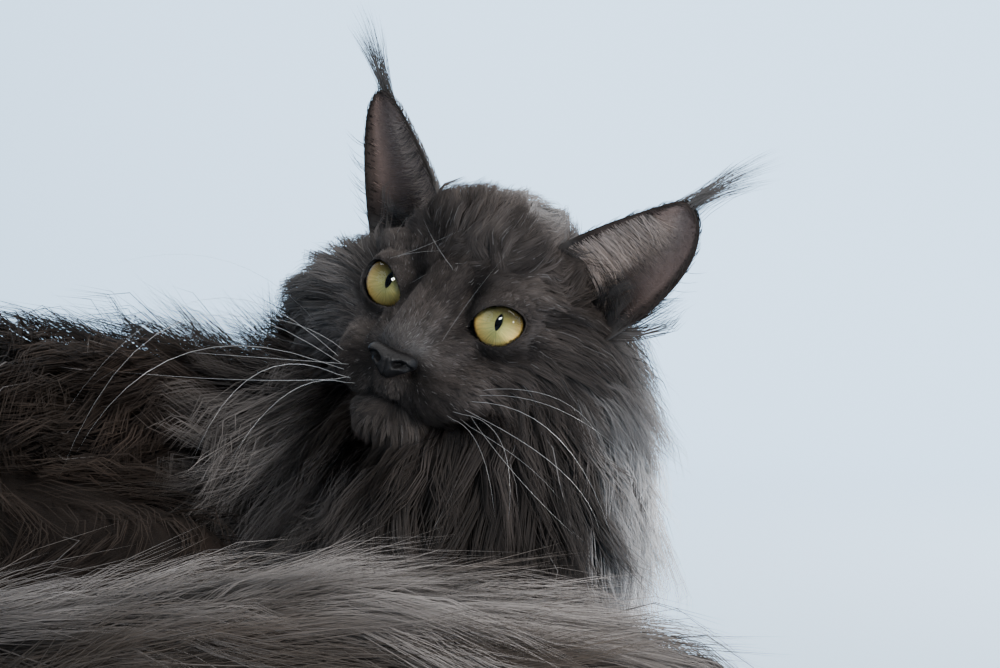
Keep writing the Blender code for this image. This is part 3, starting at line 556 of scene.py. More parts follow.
def head_groom(points, normals):
    """Lie, length and height of the head's coat, from the points in the posing frame."""
    local = to_head(points)
    x, y, z = local.T
    from_nose = local - NOSE
    reach = np.linalg.norm(from_nose, axis=1)
    lie = unit(from_nose)
    side = np.sign(x)
    cheek = ease(y, 0.004, 0.040) * ease(z, 0.026, -0.008)
    flank = ease(np.abs(x), 0.036, 0.060) * ease(z, 0.028, 0.006)
    fall = ease(reach, 0.050, 0.085) * ease(z, 0.024, -0.010)
    far = ease(x, -0.030, -0.052)
    mane = ease(x, -0.034, -0.054) * ease(y, 0.004, 0.026) * ease(z, 0.002, -0.022)
    brink = far * ease(z, -0.010, 0.010)
    lie = lie + fall[:, None] * np.stack([(0.50 + 0.35 * far) * side, 0.15 + 0 * x, -0.75 + 0.2 * far], 1)
    lie = lie + mane[:, None] * np.array((-0.35, 0.20, -0.55))
    rough = waves(local, 0.020, 3, np.random.default_rng(SEED + 1)) * (0.60 * ease(z, 0.006, 0.024))[:, None]
    lie = lie + rough
    low = ease(z, -0.050, -0.066)
    lie = lie + low[:, None] * np.array((0.0, 0.15, -0.55))
    eyes = np.minimum(*(np.linalg.norm(local - np.array(eye_centre(s)), axis=1) for s in (1, -1)))
    length = 0.0034 + 0.0075 * ease(reach, 0.038, 0.080)
    length += 0.005 * ease(z, 0.022, 0.045)
    chin = ease(np.abs(x), 0.030, 0.020) * ease(z, -0.048, -0.056) * ease(y, 0.005, -0.010)
    length += 0.004 * chin + 0.024 * mane
    length += 0.030 * cheek + 0.013 * low + 0.010 * ease(z, -0.040, -0.055) * ease(y, -0.015, 0.010)
    length += 0.016 * ease(y, 0.050, 0.080)
    length *= 0.40 + 0.60 * ease(eyes, 0.0165, 0.027)
    length += 0.010 * flank + 0.022 * far * cheek * (1.0 - 0.5 * brink)
    height = 0.30 * length + 0.05 * length * ease(reach, 0.05, 0.08)
    height += 0.011 * flank * cheek * (1.0 - 0.9 * brink) + 0.012 * far * cheek * (1.0 - brink) + 0.028 * mane
    height *= 1.0 - 0.50 * brink
    height *= 1.0 + 0.2 * ease(z, 0.03, 0.05)
    return turned(lie), length, height


def groom(points, normals):
    """Lie, length and height of the coat at points of the skin, blended from part to part."""
    shares = part_weights(points)
    lie = np.zeros((len(points), 3))
    length = np.zeros(len(points))
    height = np.zeros(len(points))
    down = np.array((0.0, 0.0, -1.0))
    for column, part in enumerate(PARTS):
        share = shares[:, column]
        if share.max() < 0.01:
            continue
        if part == "head":
            way, long, high = head_groom(points, normals)
        else:
            t, _, along, ray = TUBES[part].place(points)
            kind = part if part in LENGTHS else "leg"
            long = np.full(len(points), LENGTHS[kind])
            high = np.full(len(points), HEIGHTS[kind])
            if part == "neck":
                left = ease(points[:, 0], -0.010, -0.060)[:, None]
                right = ease(points[:, 0], 0.030, 0.080)[:, None]
                way = down + ray * (0.30 + 0.30 * right) + left * np.array((-0.45, -0.05, 0.10))
                long = long * (1.0 + 0.15 * left[:, 0])
                high = high * (1.0 + 0.70 * left[:, 0])
                nape = ease(points[:, 1] - TUBES["neck"].centres[0][1], -0.02, 0.04)
                long = long * (1.0 - 0.35 * nape) * (0.8 + 0.2 * ease(t, 0.0, 0.3))
                high = high * (0.95 + 0.15 * ease(t, 0.0, 0.25))
            elif part == "trunk":
                way = along * 0.85 + down * (0.25 + 0.75 * np.abs(ray[:, :1]).clip(0, 1)) * 0.75
                bib = (ease(points[:, 0], -0.150, -0.100) * ease(points[:, 1], 0.17, 0.13))[:, None]
                way = way + (np.array((-0.60, -0.12, -0.80)) - way) * bib
                high = high * (1.0 + 0.45 * bib[:, 0])
                long = long * (1.0 - 0.25 * ease(t, 0.75, 1.0))
                high = high * (1.0 + 0.50 * ease(normals[:, 2], 0.3, 0.8))
            elif part == "tail":
                way = along + ray * 0.12 + down * 0.10
            else:
                taper = 1.0 - 0.80 * ease(t, 0.30, 0.85)
                thigh = 1.0 + (0.9 * ease(t, 0.45, 0.15) if part.startswith("hindleg") else 0.0)
                way = along * 0.8 + down * 0.35
                long, high = long * taper * thigh, high * taper * thigh
        lie += share[:, None] * unit(way)
        length += share * long
        height += share * high
    lie -= normals * (lie * normals).sum(1, keepdims=True)
    return unit(lie), length, height


# Darker and paler places of the face in the head's frame, for the left side: centre, radii, colour and strength.
FACE_MARKS = (
    ((0.0150, -0.006, 0.020), (0.005, 0.02, 0.012), DARK, 0.80),
    ((0.0260, 0.000, 0.034), (0.006, 0.02, 0.014), DARK, 0.75),
    ((0.0390, 0.005, 0.028), (0.012, 0.02, 0.006), DARK, 0.60),
    ((0.0480, 0.010, 0.012), (0.009, 0.02, 0.006), DARK, 0.60),
    ((0.0500, 0.010, -0.008), (0.012, 0.02, 0.005), DARK, 0.45),
    ((0.0170, -0.010, -0.009), (0.007, 0.02, 0.006), DARK, 0.60),
    ((0.0260, -0.004, -0.019), (0.012, 0.02, 0.005), DARK, 0.35),
    ((0.0110, -0.006, 0.012), (0.013, 0.02, 0.012), DARK, 0.62),
    ((0.0200, -0.032, -0.0325), (0.013, 0.02, 0.0085), DARK, 1.0),
    ((0.0350, -0.018, -0.0400), (0.012, 0.02, 0.0070), DARK, 0.75),
    ((0.0120, -0.035, -0.0305), (0.008, 0.02, 0.0060), DARK, 0.95),
    ((0.0590, 0.030, 0.0020), (0.016, 0.03, 0.0150), DARK, 0.62),
    ((0.0000, -0.034, -0.0125), (0.009, 0.02, 0.006), FROST, 0.36),
    ((0.0080, -0.034, -0.0185), (0.006, 0.02, 0.004), FROST, 0.42),
    ((0.0000, -0.010, 0.006), (0.008, 0.02, 0.012), BROWN, 0.30),
    ((0.0180, -0.034, -0.0355), (0.003, 0.02, 0.0020), DARK, 0.60),
    ((0.0250, -0.030, -0.0375), (0.003, 0.02, 0.0020), DARK, 0.60),
    ((0.0310, -0.025, -0.0390), (0.003, 0.02, 0.0020), DARK, 0.60),
    ((0.0150, -0.034, -0.0415), (0.003, 0.02, 0.0020), DARK, 0.60),
    ((0.0220, -0.030, -0.0435), (0.003, 0.02, 0.0020), DARK, 0.60),
    ((0.0290, -0.025, -0.0450), (0.003, 0.02, 0.0020), DARK, 0.60),
    ((0.0060, -0.030, -0.0600), (0.028, 0.02, 0.012), TAWNY, 0.50),
    ((0.0000, -0.030, -0.0490), (0.016, 0.02, 0.004), DARK, 0.40),
)
RIM = 0.0022
STIPPLED = np.array((0.002, -0.034, -0.014))


def ruff_colour(points):
    """Pale at the cat's left side, partly silver fur and partly painted rim light; ash grey at its right side, partly
    painted fill light; painted shade under the chin; grey between.
    """
    x, y, z = points.T
    # Partly painted rim light: the ruff turns pale silver on the cat's left side, where the rim light falls.
    pale = ease(x - 0.012 * ease(z, 0.165, 0.205), 0.026, 0.064)[:, None]
    # Partly the fur's grey and partly painted fill light: the far, right side of the ruff is made paler ash grey.
    left = ease(x, -0.025, -0.065)[:, None] * 0.80
    own = RUFF + (SILVER - RUFF) * pale + (ASH - RUFF) * left
    shade = ease(z, 0.105, 0.150) * ease(y, 0.085, 0.060) * ease(np.abs(x + 0.01), 0.060, 0.02)
    return own + (DARK - own) * 0.70 * shade[:, None]


def coat_colour(points, normals, draw):
    """The coat's colour at points of the skin, which the skin and the strands share, with painted light and shade in
    it.
    """
    shares = part_weights(points, 0.012)
    colour = np.zeros((len(points), 3))
    x, y, z = points.T
    for column, part in enumerate(PARTS):
        if part == "head":
            own = np.tile(SMOKE, (len(points), 1))
        elif part == "neck":
            own = ruff_colour(points)
        elif part == "trunk":
            # Partly painted shade: the body's brown is much darker than the head's coat.
            bib = (ease(x, -0.150, -0.105) * ease(y, 0.17, 0.13))[:, None]
            own = BROWN + (ruff_colour(points) - BROWN) * bib
        elif part == "tail":
            # Painted light: the tail's coat is paler and greyer where it faces up, as if lit from above, and browner
            # and darker beneath.
            lit = ease(normals[:, 2], 0.42, 1.0)[:, None]
            own = TAWNY * 0.72 + (ASH * 1.38 - TAWNY * 0.72) * lit
        else:
            own = np.tile(BROWN if part.startswith("hind") else SMOKE * 0.7, (len(points), 1))
        colour += shares[:, column, None] * own
    local = to_head(points)
    mirrored = np.stack([np.abs(local[:, 0]), local[:, 1], local[:, 2]], 1)
    in_head = shares[:, 0]
    for centre, radii, mark, strength in FACE_MARKS:
        gap = np.linalg.norm((mirrored - np.array(centre)) / np.array(radii), axis=1)
        amount = strength * np.exp(-gap ** 2) * in_head
        colour += (mark - colour) * amount[:, None]
    # Partly the fur's grey and partly painted fill light: the far, right side of the head is made paler ash grey.
    colour += (ASH - colour) * (0.80 * ease(local[:, 0], -0.034, -0.060) * in_head)[:, None]
    # Partly painted rim light: the lower cheek on the cat's left side turns pale silver, as the ruff below it does.
    cheek_silver_and_rim_light = ease(local[:, 0], 0.052, 0.070) * ease(local[:, 2], 0.000, -0.022) * ease(local[:, 1], 0.010, 0.030)
    colour += (SILVER * 0.62 - colour) * (0.80 * cheek_silver_and_rim_light * in_head)[:, None]
    back = ease(local[:, 2], 0.036, 0.052) * ease(local[:, 1], 0.012, 0.040)
    colour += (FROST * 1.35 - colour) * (0.90 * back * in_head)[:, None]
    near_mouth = np.minimum(line_distance(local, MOUTH), line_distance(local, PHILTRUM))
    colour += (DARK * 0.6 - colour) * (0.85 * np.exp(-(near_mouth / 0.0022) ** 2) * in_head)[:, None]
    for side in (1, -1):
        rim = line_distance(local, [np.array(p) for p in (*lid_outline(side, 24), lid_outline(side, 24)[0])])
        near = np.linalg.norm(local - np.array(eye_centre(side)), axis=1) < EYE_RADIUS + 0.006
        colour += (DARK * 0.35 - colour) * (np.exp(-(rim / RIM) ** 4) * near)[:, None]
    from_nose = local - NOSE
    reach = np.linalg.norm(from_nose, axis=1)
    streaks = waves(unit(from_nose) * 0.030 + local * 0.25, 0.0075, 1, draw, 12)[:, 0]
    mottle = waves(local, 0.011, 1, draw, 12)[:, 0]
    patches = waves(points, 0.030, 1, draw)[:, 0]
    face = in_head * ease(reach, 0.012, 0.022) * ease(reach, 0.120, 0.080)
    in_trunk = shares[:, PARTS.index("trunk")]
    level = 1.0 + (0.14 + 0.34 * in_trunk) * patches + face * (0.26 * streaks + 0.24 * mottle)
    return np.clip(colour * np.maximum(level, 0.3)[:, None], 0.004, 1.0)


# Where each part lies in the unit square of the coat's map: corner and size.
ATLAS = {
    "trunk": (0.005, 0.005, 0.615, 0.395),
    "tail": (0.005, 0.410, 0.615, 0.250),
    "neck": (0.005, 0.670, 0.445, 0.325),
    "head": (0.630, 0.005, 0.365, 0.420),
    "ear_left": (0.630, 0.435, 0.180, 0.170),
    "ear_right": (0.815, 0.435, 0.180, 0.170),
}
for index, leg in enumerate(LEGS):
    ATLAS[leg] = (0.460 + 0.135 * index, 0.670, 0.130, 0.325)


def part_square(part, points, normals):
    """Places in a part's own unit square: by angle and length, or for the head by direction from its middle."""
    if part == "head":
        local = to_head(points) - np.array((0.0, 0.030, -0.010))
        way = local / np.abs(local).sum(1, keepdims=True)
        p, q, r = way[:, 0], way[:, 2], -way[:, 1]
        back = r < 0
        fold = np.stack([(1 - np.abs(q)) * np.where(p < 0, -1, 1), (1 - np.abs(p)) * np.where(q < 0, -1, 1)], 1)
        flat = np.where(back[:, None], fold, np.stack([p, q], 1))
        return flat * 0.5 + 0.5
    if part in ("ear_left", "ear_right"):
        return ear_square(part, points, normals)
    t, angle, _, _ = TUBES[part].place(points)
    return np.stack([t, angle / (2 * math.pi) + 0.5], 1)


def on_atlas(part, square):
    x, y, wide, tall = ATLAS[part]
    return np.stack([x + square[:, 0] * wide, y + square[:, 1] * tall], 1)


EAR_SAMPLES = [(u, v) for u in np.linspace(-0.05, 0.97, 24) for v in np.linspace(-1, 1, 17)]
EAR_GRIDS = {side: np.array([ear_place(side, u, v) for u, v in EAR_SAMPLES]) for side in (1, -1)}
EAR_NORMALS = {side: np.array([tuple(ear_normal(side, u, v)) for u, v in EAR_SAMPLES]) for side in (1, -1)}


def ear_coordinates(points, normals):
    """u and v of the nearest place of the ear, whether a point is on its front, and the gap, for posing-frame points."""
    local = to_head(points)
    mirror = np.where(local[:, :1] < 0, np.array((-1.0, 1.0, 1.0)), np.ones(3))
    local = local * mirror
    facing = (normals @ np.array(HEAD)[:3, :3]) * mirror
    near = np.zeros(len(points), dtype=np.int64)
    gap = np.full(len(points), 1.0)
    front = np.zeros(len(points), dtype=bool)
    for side, grid in EAR_GRIDS.items():
        near_ear = ((local > grid.min(0) - 0.012) & (local < grid.max(0) + 0.012)).all(1)
        inside = np.nonzero(near_ear & (mirror[:, 0] == side))[0]
        for start in range(0, len(inside), 20000):
            own = inside[start:start + 20000]
            gaps = ((local[own][:, None, :] - grid[None]) ** 2).sum(-1)
            near[own] = gaps.argmin(1)
            gap[own] = np.sqrt(gaps.min(1))
        front[inside] = (facing[inside] * EAR_NORMALS[side][near[inside]]).sum(1) < 0
    return np.array(EAR_SAMPLES)[near], front, gap


def ear_square(part, points, normals):
    uv, front, _ = ear_coordinates(points, normals)
    across = (uv[:, 1] + 1) / 2 * 0.48
    return np.stack([np.where(front, across, across + 0.52), np.clip(uv[:, 0], 0, 1)], 1)



class Skin:
    """The skin's triangles as arrays, in which strands are rooted."""

    def __init__(self, obj):
        mesh = obj.data
        self.places = vertex_array(mesh)
        self.normals = normal_array(mesh)
        corners = np.empty(len(mesh.loops), dtype=np.int32)
        mesh.loops.foreach_get("vertex_index", corners)
        self.faces = corners.reshape(-1, 3)
        a, b, c = (self.places[self.faces[:, i]] for i in range(3))
        cross = np.cross(b - a, c - a)
        self.area = np.linalg.norm(cross, axis=1) / 2
        self.flat = unit(cross)
        self.middle = (a + b + c) / 3
        self.tree = BVHTree.FromPolygons(self.places.tolist(), self.faces.tolist())
        part = np.array(PARTS)[part_weights(self.middle).argmax(1)]
        uv, front, gap = ear_coordinates(self.middle, self.flat)
        self.in_ear = (gap < 0.0032) & (uv[:, 0] > 0.02)
        left = to_head(self.middle)[:, 0] > 0
        self.part = np.where(self.in_ear, np.where(left, "ear_left", "ear_right"), part)

    def furred(self):
        """Whether each triangle carries the coat: not the ears, lids' edges, mouth, nose, nor what the floor touches."""
        local = to_head(self.middle)
        bare = self.in_ear | ((self.middle[:, 2] < 0.012) & (self.flat[:, 2] < -0.3)) | (self.middle[:, 2] < 0.002)
        bare |= line_distance(local, MOUTH) < 0.0011
        bare |= line_distance(local, PHILTRUM) < 0.0008
        bare |= np.linalg.norm((local - NOSE_LEATHER) / NOSE_REACH, axis=1) < 1.0
        for side in (1, -1):
            reach = np.linalg.norm(local - np.array(eye_centre(side)), axis=1)
            rim = line_distance(local, [np.array(p) for p in (*lid_outline(side, 24), lid_outline(side, 24)[0])])
            bare |= (reach < EYE_RADIUS + 0.0008) | ((rim < 0.0020) & (reach < EYE_RADIUS + 0.004))
        return ~bare

    def scatter(self, weights, count, draw):
        """Random roots on the triangles, by their weights: places, smooth normals and triangle numbers."""
        picked = draw.choice(len(weights), size=count, p=weights / weights.sum())
        r = np.sqrt(draw.uniform(size=count))
        q = draw.uniform(size=count)
        shares = np.stack([1 - r, r * (1 - q), r * q], 1)[:, :, None]
        corner = self.faces[picked]
        return ((self.places[corner] * shares).sum(1), unit((self.normals[corner] * shares).sum(1)), picked)

    def nearest(self, points):
        """The skin's nearest places and their normals."""
        found = [self.tree.find_nearest(p) for p in points.tolist()]
        return np.array([f[0] for f in found]), np.array([f[1] for f in found])


NOSE_LEATHER = np.array((0.0, -0.0410, -0.0275))
NOSE_REACH = np.array((0.0122, 0.0080, 0.0078))
GUIDE_STEPS = 6
SMOOTHING = 3


def comb(skin, roots, normals, draw):
    """Guide paths: each marches over the skin along the coat's lie while it rises to the coat's height."""
    lie, length, height = groom(roots, normals)
    in_tail = part_weights(roots)[:, PARTS.index("tail")]
    swirl = waves(roots, 0.045, 1, draw)[:, 0] * 0.22 + draw.normal(size=len(roots)) * (0.10 - 0.03 * in_tail)
    length = length * draw.uniform(0.84, 1.14, len(roots))
    height = height * draw.uniform(0.58, 1.12, len(roots))
    path = [roots]
    foot, up = roots, normals
    for k in range(GUIDE_STEPS):
        share = (k + 1) / GUIDE_STEPS
        if k:
            lie = groom(foot, up)[0]
        way = lie * np.cos(swirl)[:, None] + np.cross(up, lie) * np.sin(swirl)[:, None]
        aim = foot + way * (length / GUIDE_STEPS)[:, None]
        foot, up = skin.nearest(aim)
        rise = 1.0 - (1.0 - share) ** 1.7
        point = foot + up * (height * rise)[:, None]
        jump = np.linalg.norm(point - path[-1], axis=1) > 2.2 * (length + 2 * height) / GUIDE_STEPS
        before = path[-2] if k else roots - lie * (length / GUIDE_STEPS)[:, None]
        point = np.where(jump[:, None], 2 * path[-1] - before, point)
        point[:, 2] = np.maximum(point[:, 2], HAIR_FLOOR + 0.002)
        path.append(point)
    path = np.stack(path, 1)
    for _ in range(SMOOTHING):
        path[:, 1:-1] = 0.25 * path[:, :-2] + 0.5 * path[:, 1:-1] + 0.25 * path[:, 2:]
    return path


def nearest_guide(points, normals, guide_points, guide_normals, spread=0.010):
    """Number of the guide nearest to each root, among those that face its way."""
    own = np.concatenate([points, normals * spread], 1)
    keys = np.concatenate([guide_points, guide_normals * spread], 1)
    found = np.empty(len(own), dtype=np.int64)
    for start in range(0, len(own), 2000):
        part = own[start:start + 2000]
        found[start:start + 2000] = ((keys ** 2).sum(1)[None] - 2 * part @ keys.T).argmin(1)
    return found


def one_per_cell(points, cell):
    """Numbers of the first point in each cube of a grid, which spreads guides evenly."""
    keys = np.floor(points / cell).astype(np.int64)
    _, first = np.unique(keys, axis=0, return_index=True)
    return first


def sampled(paths, shares):
    """Points of each path at the given shares of it."""
    spots = np.array(shares) * (paths.shape[1] - 1)
    low = np.minimum(spots.astype(int), paths.shape[1] - 2)
    part = (spots - low)[None, :, None]
    return paths[:, low] * (1 - part) + paths[:, low + 1] * part


RINGS = {3: (0.0, 0.50, 1.0), 4: (0.0, 0.34, 0.70, 1.0), 5: (0.0, 0.25, 0.52, 0.79, 1.0),
         13: tuple(k / 12 for k in range(13))}
SINK = 0.0012
PATCH = 0.003

# How much a strand's shading turns from side to side: less than the prism's own, so that the coat looks soft.
ROUNDNESS = 0.32


def strand_piece(name, paths, normals, widths, colours, squares, shares, finish, flatness=0.26):
    """One mesh of closed, tapered three-sided strands. squares are their roots' places on the coat's map."""
    count, rings = paths.shape[0], paths.shape[1] - 1
    along = np.gradient(paths, axis=1)
    along = unit(along)
    side = unit(np.cross(along, normals[:, None, :]) + 1e-7)
    up = unit(np.cross(side, along))
    taper = np.interp(shares[:-1], (0.0, 0.25, 0.6, 1.0), (0.80, 1.0, 0.70, 0.15))
    wide = (widths[:, None] * taper)[:, :, None]
    body = paths[:, :-1]
    corners = np.stack([
        body + side[:, :-1] * wide * 0.5 - up[:, :-1] * wide * 0.3 * flatness,
        body + up[:, :-1] * wide * 0.7 * flatness,
        body - side[:, :-1] * wide * 0.5 - up[:, :-1] * wide * 0.3 * flatness,
    ], 2).reshape(count, rings * 3, 3)
    places = np.concatenate([corners, paths[:, -1:]], 1)
    places[:, :, 2] = np.maximum(places[:, :, 2], HAIR_FLOOR * 0.5)
    per = rings * 3 + 1
    faces = [(0, 1, 2)]
    for k in range(rings - 1):
        for i in range(3):
            a, b = k * 3 + i, k * 3 + (i + 1) % 3
            faces += [(a, a + 3, b), (b, a + 3, b + 3)]
    top = (rings - 1) * 3
    faces += [(top + i, per - 1, top + (i + 1) % 3) for i in range(3)]
    faces = np.array(faces)
    every = (faces[None] + (np.arange(count) * per)[:, None, None]).reshape(-1, 3)
    mesh = bpy.data.meshes.new(name)
    mesh.vertices.add(count * per)
    mesh.vertices.foreach_set("co", (places.reshape(-1, 3) + OFFSET).ravel())
    mesh.loops.add(every.size)
    mesh.loops.foreach_set("vertex_index", every.ravel())
    mesh.polygons.add(len(every))
    mesh.polygons.foreach_set("loop_start", np.arange(0, every.size, 3))
    mesh.polygons.foreach_set("use_smooth", np.ones(len(every), dtype=bool))
    mesh.update(calc_edges=True)
    share = np.concatenate([np.repeat(np.array(shares[:-1]), 3), [1.0]])
    across = np.concatenate([np.tile((-0.5, 0.0, 0.5), rings), [0.0]])
    local = np.stack([across, share - 0.5], 1) * PATCH
    spots = (squares[:, None] + local[None]).reshape(-1, 2)
    uv = mesh.uv_layers.new(name="OFBake")
    uv.data.foreach_set("uv", spots[every.ravel()].ravel())
    level = mesh.attributes.new("along", "FLOAT", "POINT")
    level.data.foreach_set("value", np.tile(share, count))
    paint(mesh, np.repeat(colours, per, axis=0))
    tilt = np.tile((1.0, 0.0, -1.0), rings)[None, :, None] * np.repeat(side[:, :-1], 3, axis=1) * ROUNDNESS
    soft = unit(tilt + np.repeat(up[:, :-1] + normals[:, None, :], 3, axis=1) * 0.5)
    soft = np.concatenate([soft, unit(up[:, -1:] + normals[:, None, :])], 1)
    mesh.normals_split_custom_set_from_vertices(soft.reshape(-1, 3))
    mesh.materials.append(finish)
    return add_object(name, mesh)


def paint(mesh, colours):
    tone = mesh.attributes.new("tone", "FLOAT_COLOR", "POINT")
    tone.data.foreach_set("color", np.concatenate([colours, np.ones((len(colours), 1))], 1).ravel())


def shine_off(colours, pale, draw, spread=0.19):
    """Varies the colours from strand to strand, and makes a share of the strands pale."""
    count = len(colours)
    colours = colours * draw.uniform(1 - spread, 1 + spread, (count, 1))
    silver = (draw.uniform(size=count) < pale)[:, None] * draw.uniform(0.3, 0.8, (count, 1))
    return colours + (FROST * 1.1 - colours) * silver


# Each coat piece: strands, points along a strand, size of a clump, how far it closes up, width and waviness.
COATS = {
    "coat_face": (17000, 3, 0.0042, 0.22, 0.00034, 0.0),
    "coat_brow": (9500, 4, 0.0055, 0.30, 0.00036, 0.04),
    "coat_crown": (5500, 4, 0.0065, 0.34, 0.00048, 0.04),
    "coat_cheeks": (11500, 4, 0.0065, 0.36, 0.00044, 0.06),
    "coat_ruff_front": (8600, 5, 0.0110, 0.56, 0.00055, 0.10),
    "coat_ruff_back": (4600, 4, 0.0100, 0.46, 0.00090, 0.06),
    "coat_chest": (11500, 4, 0.0130, 0.56, 0.00080, 0.10),
    "coat_loin": (9000, 4, 0.0135, 0.56, 0.00105, 0.10),
    "coat_tail_base": (5000, 4, 0.0100, 0.32, 0.00070, 0.05),
    "coat_tail_tip": (12000, 4, 0.0090, 0.28, 0.00048, 0.05),
    "coat_legs": (3800, 4, 0.0080, 0.45, 0.00080, 0.03),
}


def coat_names(skin):
    """The coat piece that each triangle of the skin carries."""
    local = to_head(skin.middle)
    reach = np.linalg.norm(local - NOSE, axis=1)
    share = {part: TUBES[part].place(skin.middle)[0] for part in ("trunk", "tail")}
    names = np.where(local[:, 2] > -0.004, np.where(reach < 0.080, "coat_brow", "coat_crown"), "coat_cheeks")
    names = np.where(reach < 0.056, "coat_face", names)
    part = skin.part
    names = np.where(part == "neck", np.where(skin.flat[:, 1] < 0.15, "coat_ruff_front", "coat_ruff_back"), names)
    names = np.where(part == "trunk", np.where(share["trunk"] < 0.5, "coat_chest", "coat_loin"), names)
    names = np.where(part == "tail", np.where(share["tail"] < 0.5, "coat_tail_base", "coat_tail_tip"), names)
    return np.where(np.isin(part, list(LEGS)), "coat_legs", names)


# How much the clumps of a coat piece differ in tone, where it isn't the usual fifth.
STREAKS = {"coat_ruff_front": 0.32, "coat_tail_base": 0.34, "coat_tail_tip": 0.34, "coat_chest": 0.30, "coat_loin": 0.30}


def grow_coat(skin, name, fits, draw, finish):
    count, points, cell, clump, width, wave = COATS[name]
    density = 1.0 + 1.6 * ease(-skin.flat[:, 1], -0.3, 0.5) + 0.4 * ease(skin.flat[:, 2], 0.0, 0.7)
    weights = skin.area * fits * density
    roots, normals, picked = skin.scatter(weights, count, draw)
    thin = np.sqrt(np.average(density, weights=weights) / density)[picked]
    first = one_per_cell(roots, cell)
    guides = comb(skin, roots[first], normals[first], draw)
    lead = nearest_guide(roots, normals, roots[first], normals[first])
    shares = RINGS[points]
    led = sampled(guides, shares)[lead]
    s = np.array(shares)[None, :, None]
    tight = np.clip(clump * draw.uniform(0.6, 1.25, len(first)), 0, 0.95)[lead][:, None, None]
    gap = (roots - roots[first][lead])[:, None, :]
    paths = led + gap * (1.0 - tight * s ** 1.2)
    size = np.linalg.norm(led[:, -1] - led[:, 0], axis=1)[:, None, None]
    stray = (draw.uniform(size=count) < 0.035)[:, None, None]
    bend = draw.normal(size=(count, 1, 3)) * size * np.where(stray, 0.09, 0.040) * s ** 1.5
    phase = draw.uniform(0, 2 * math.pi, (len(first), 1, 3))[lead]
    ripple = np.sin(phase + s * 2 * math.pi * 1.1) * size * wave * s
    paths = paths + bend + ripple
    rise = ((paths - roots[:, None]) * normals[:, None]).sum(2, keepdims=True)
    paths = paths - normals[:, None] * np.maximum(rise, 0.0) * draw.uniform(0.0, 0.55, (count, 1, 1))
    long = draw.uniform(0.72, 1.08, (count, 1, 1))
    paths = roots[:, None] + (paths - roots[:, None]) * long
    paths[:, 0] = roots - normals * SINK
    foot, up = skin.nearest(paths[:, points // 2])
    low = ((paths[:, points // 2] - foot) * up).sum(1)
    lift = np.maximum(0.0004 - low, 0.0)
    paths[:, 1:] += (up * lift[:, None])[:, None]
    paths[:, :, 2] = np.maximum(paths[:, :, 2], HAIR_FLOOR)
    colours = coat_colour(roots, normals, np.random.default_rng(SEED))
    streak = STREAKS.get(name, 0.20)
    colours = colours * draw.uniform(1 - streak, 1 + streak, (len(first), 1))[lead]
    stipple = np.exp(-(np.linalg.norm(to_head(roots) - STIPPLED, axis=1) / 0.010) ** 2)
    in_head = part_weights(roots)[:, 0]
    colours = shine_off(colours, 0.004 + 0.022 * in_head + 0.24 * stipple, draw)
    squares = np.empty((count, 2))
    for part in set(skin.part[picked].tolist()):
        own = skin.part[picked] == part
        squares[own] = on_atlas(part, part_square(part, roots[own], normals[own]))
    widths = width * thin * draw.uniform(0.7, 1.3, count)
    return strand_piece(name, paths, normals, widths, colours, squares, shares, finish)


def paint_skin(obj, skin, draw_seed=SEED):
    """The skin's colours, darker than the coat's as painted shade under it, and its own part of the coat's map."""
    # Painted shade: the skin under the coat is darkened to 0.62 of the coat's colour.
    colours = coat_colour(skin.places, skin.normals, np.random.default_rng(draw_seed)) * 0.62
    uv, front, gap = ear_coordinates(skin.places, skin.normals)
    ear = ease(gap, 0.0042, 0.0030) * ease(uv[:, 0], 0.0, 0.10)
    edge = np.maximum(ease(np.abs(uv[:, 1]), 0.74, 0.94), ease(uv[:, 0], 0.88, 0.97))
    glow = np.exp(-((uv[:, 0] - 0.55) / 0.25) ** 2 - ((uv[:, 1] + 0.15) / 0.45) ** 2)
    inner = EAR_PINK * 0.8 + (EAR_PALE * 1.25 - EAR_PINK * 0.8) * glow[:, None]
    # The ear's inside colour is scaled by its level; the far, right ear's is lower, as painted shade.
    inner *= np.where(to_head(skin.places)[:, 0] > 0, EAR_SHADE_LEVELS[1], EAR_SHADE_LEVELS[-1])[:, None]
    # Painted shade: the inside of the cup darkens towards its base, deep in the ear.
    inner = inner + (DARK * 1.6 - inner) * ease(uv[:, 0], 0.30, -0.05)[:, None] * 0.8
    inner = np.where(front[:, None], inner, SMOKE * 0.7)
    inner = inner + (DARK - inner) * edge[:, None] * 0.9
    colours += (inner - colours) * ear[:, None]
    paint(obj.data, colours)
    squares = np.zeros((len(skin.faces), 3, 2))
    for part in set(skin.part.tolist()):
        own = np.nonzero(skin.part == part)[0]
        corners = skin.faces[own].ravel()
        spots = part_square(part, skin.places[corners], np.repeat(skin.flat[own], 3, axis=0)).reshape(-1, 3, 2)
        if part not in ("head", "ear_left", "ear_right"):
            turn = spots[:, :, 1]
            wraps = (turn.max(1) - turn.min(1)) > 0.5
            turn[wraps] = np.where(turn[wraps] < 0.5, 1.0, turn[wraps])
        squares[own] = on_atlas(part, spots.reshape(-1, 2)).reshape(-1, 3, 2)
    layer = obj.data.uv_layers.new(name="OFBake")
    layer.data.foreach_set("uv", squares.ravel())


# Each wisp of the tufts: how far it leans outwards, and its share of the full length.
WISPS = ((0.0, 1.0), (0.11, 0.95), (-0.13, 0.94), (0.26, 0.78), (-0.30, 0.70), (0.04, 0.6))


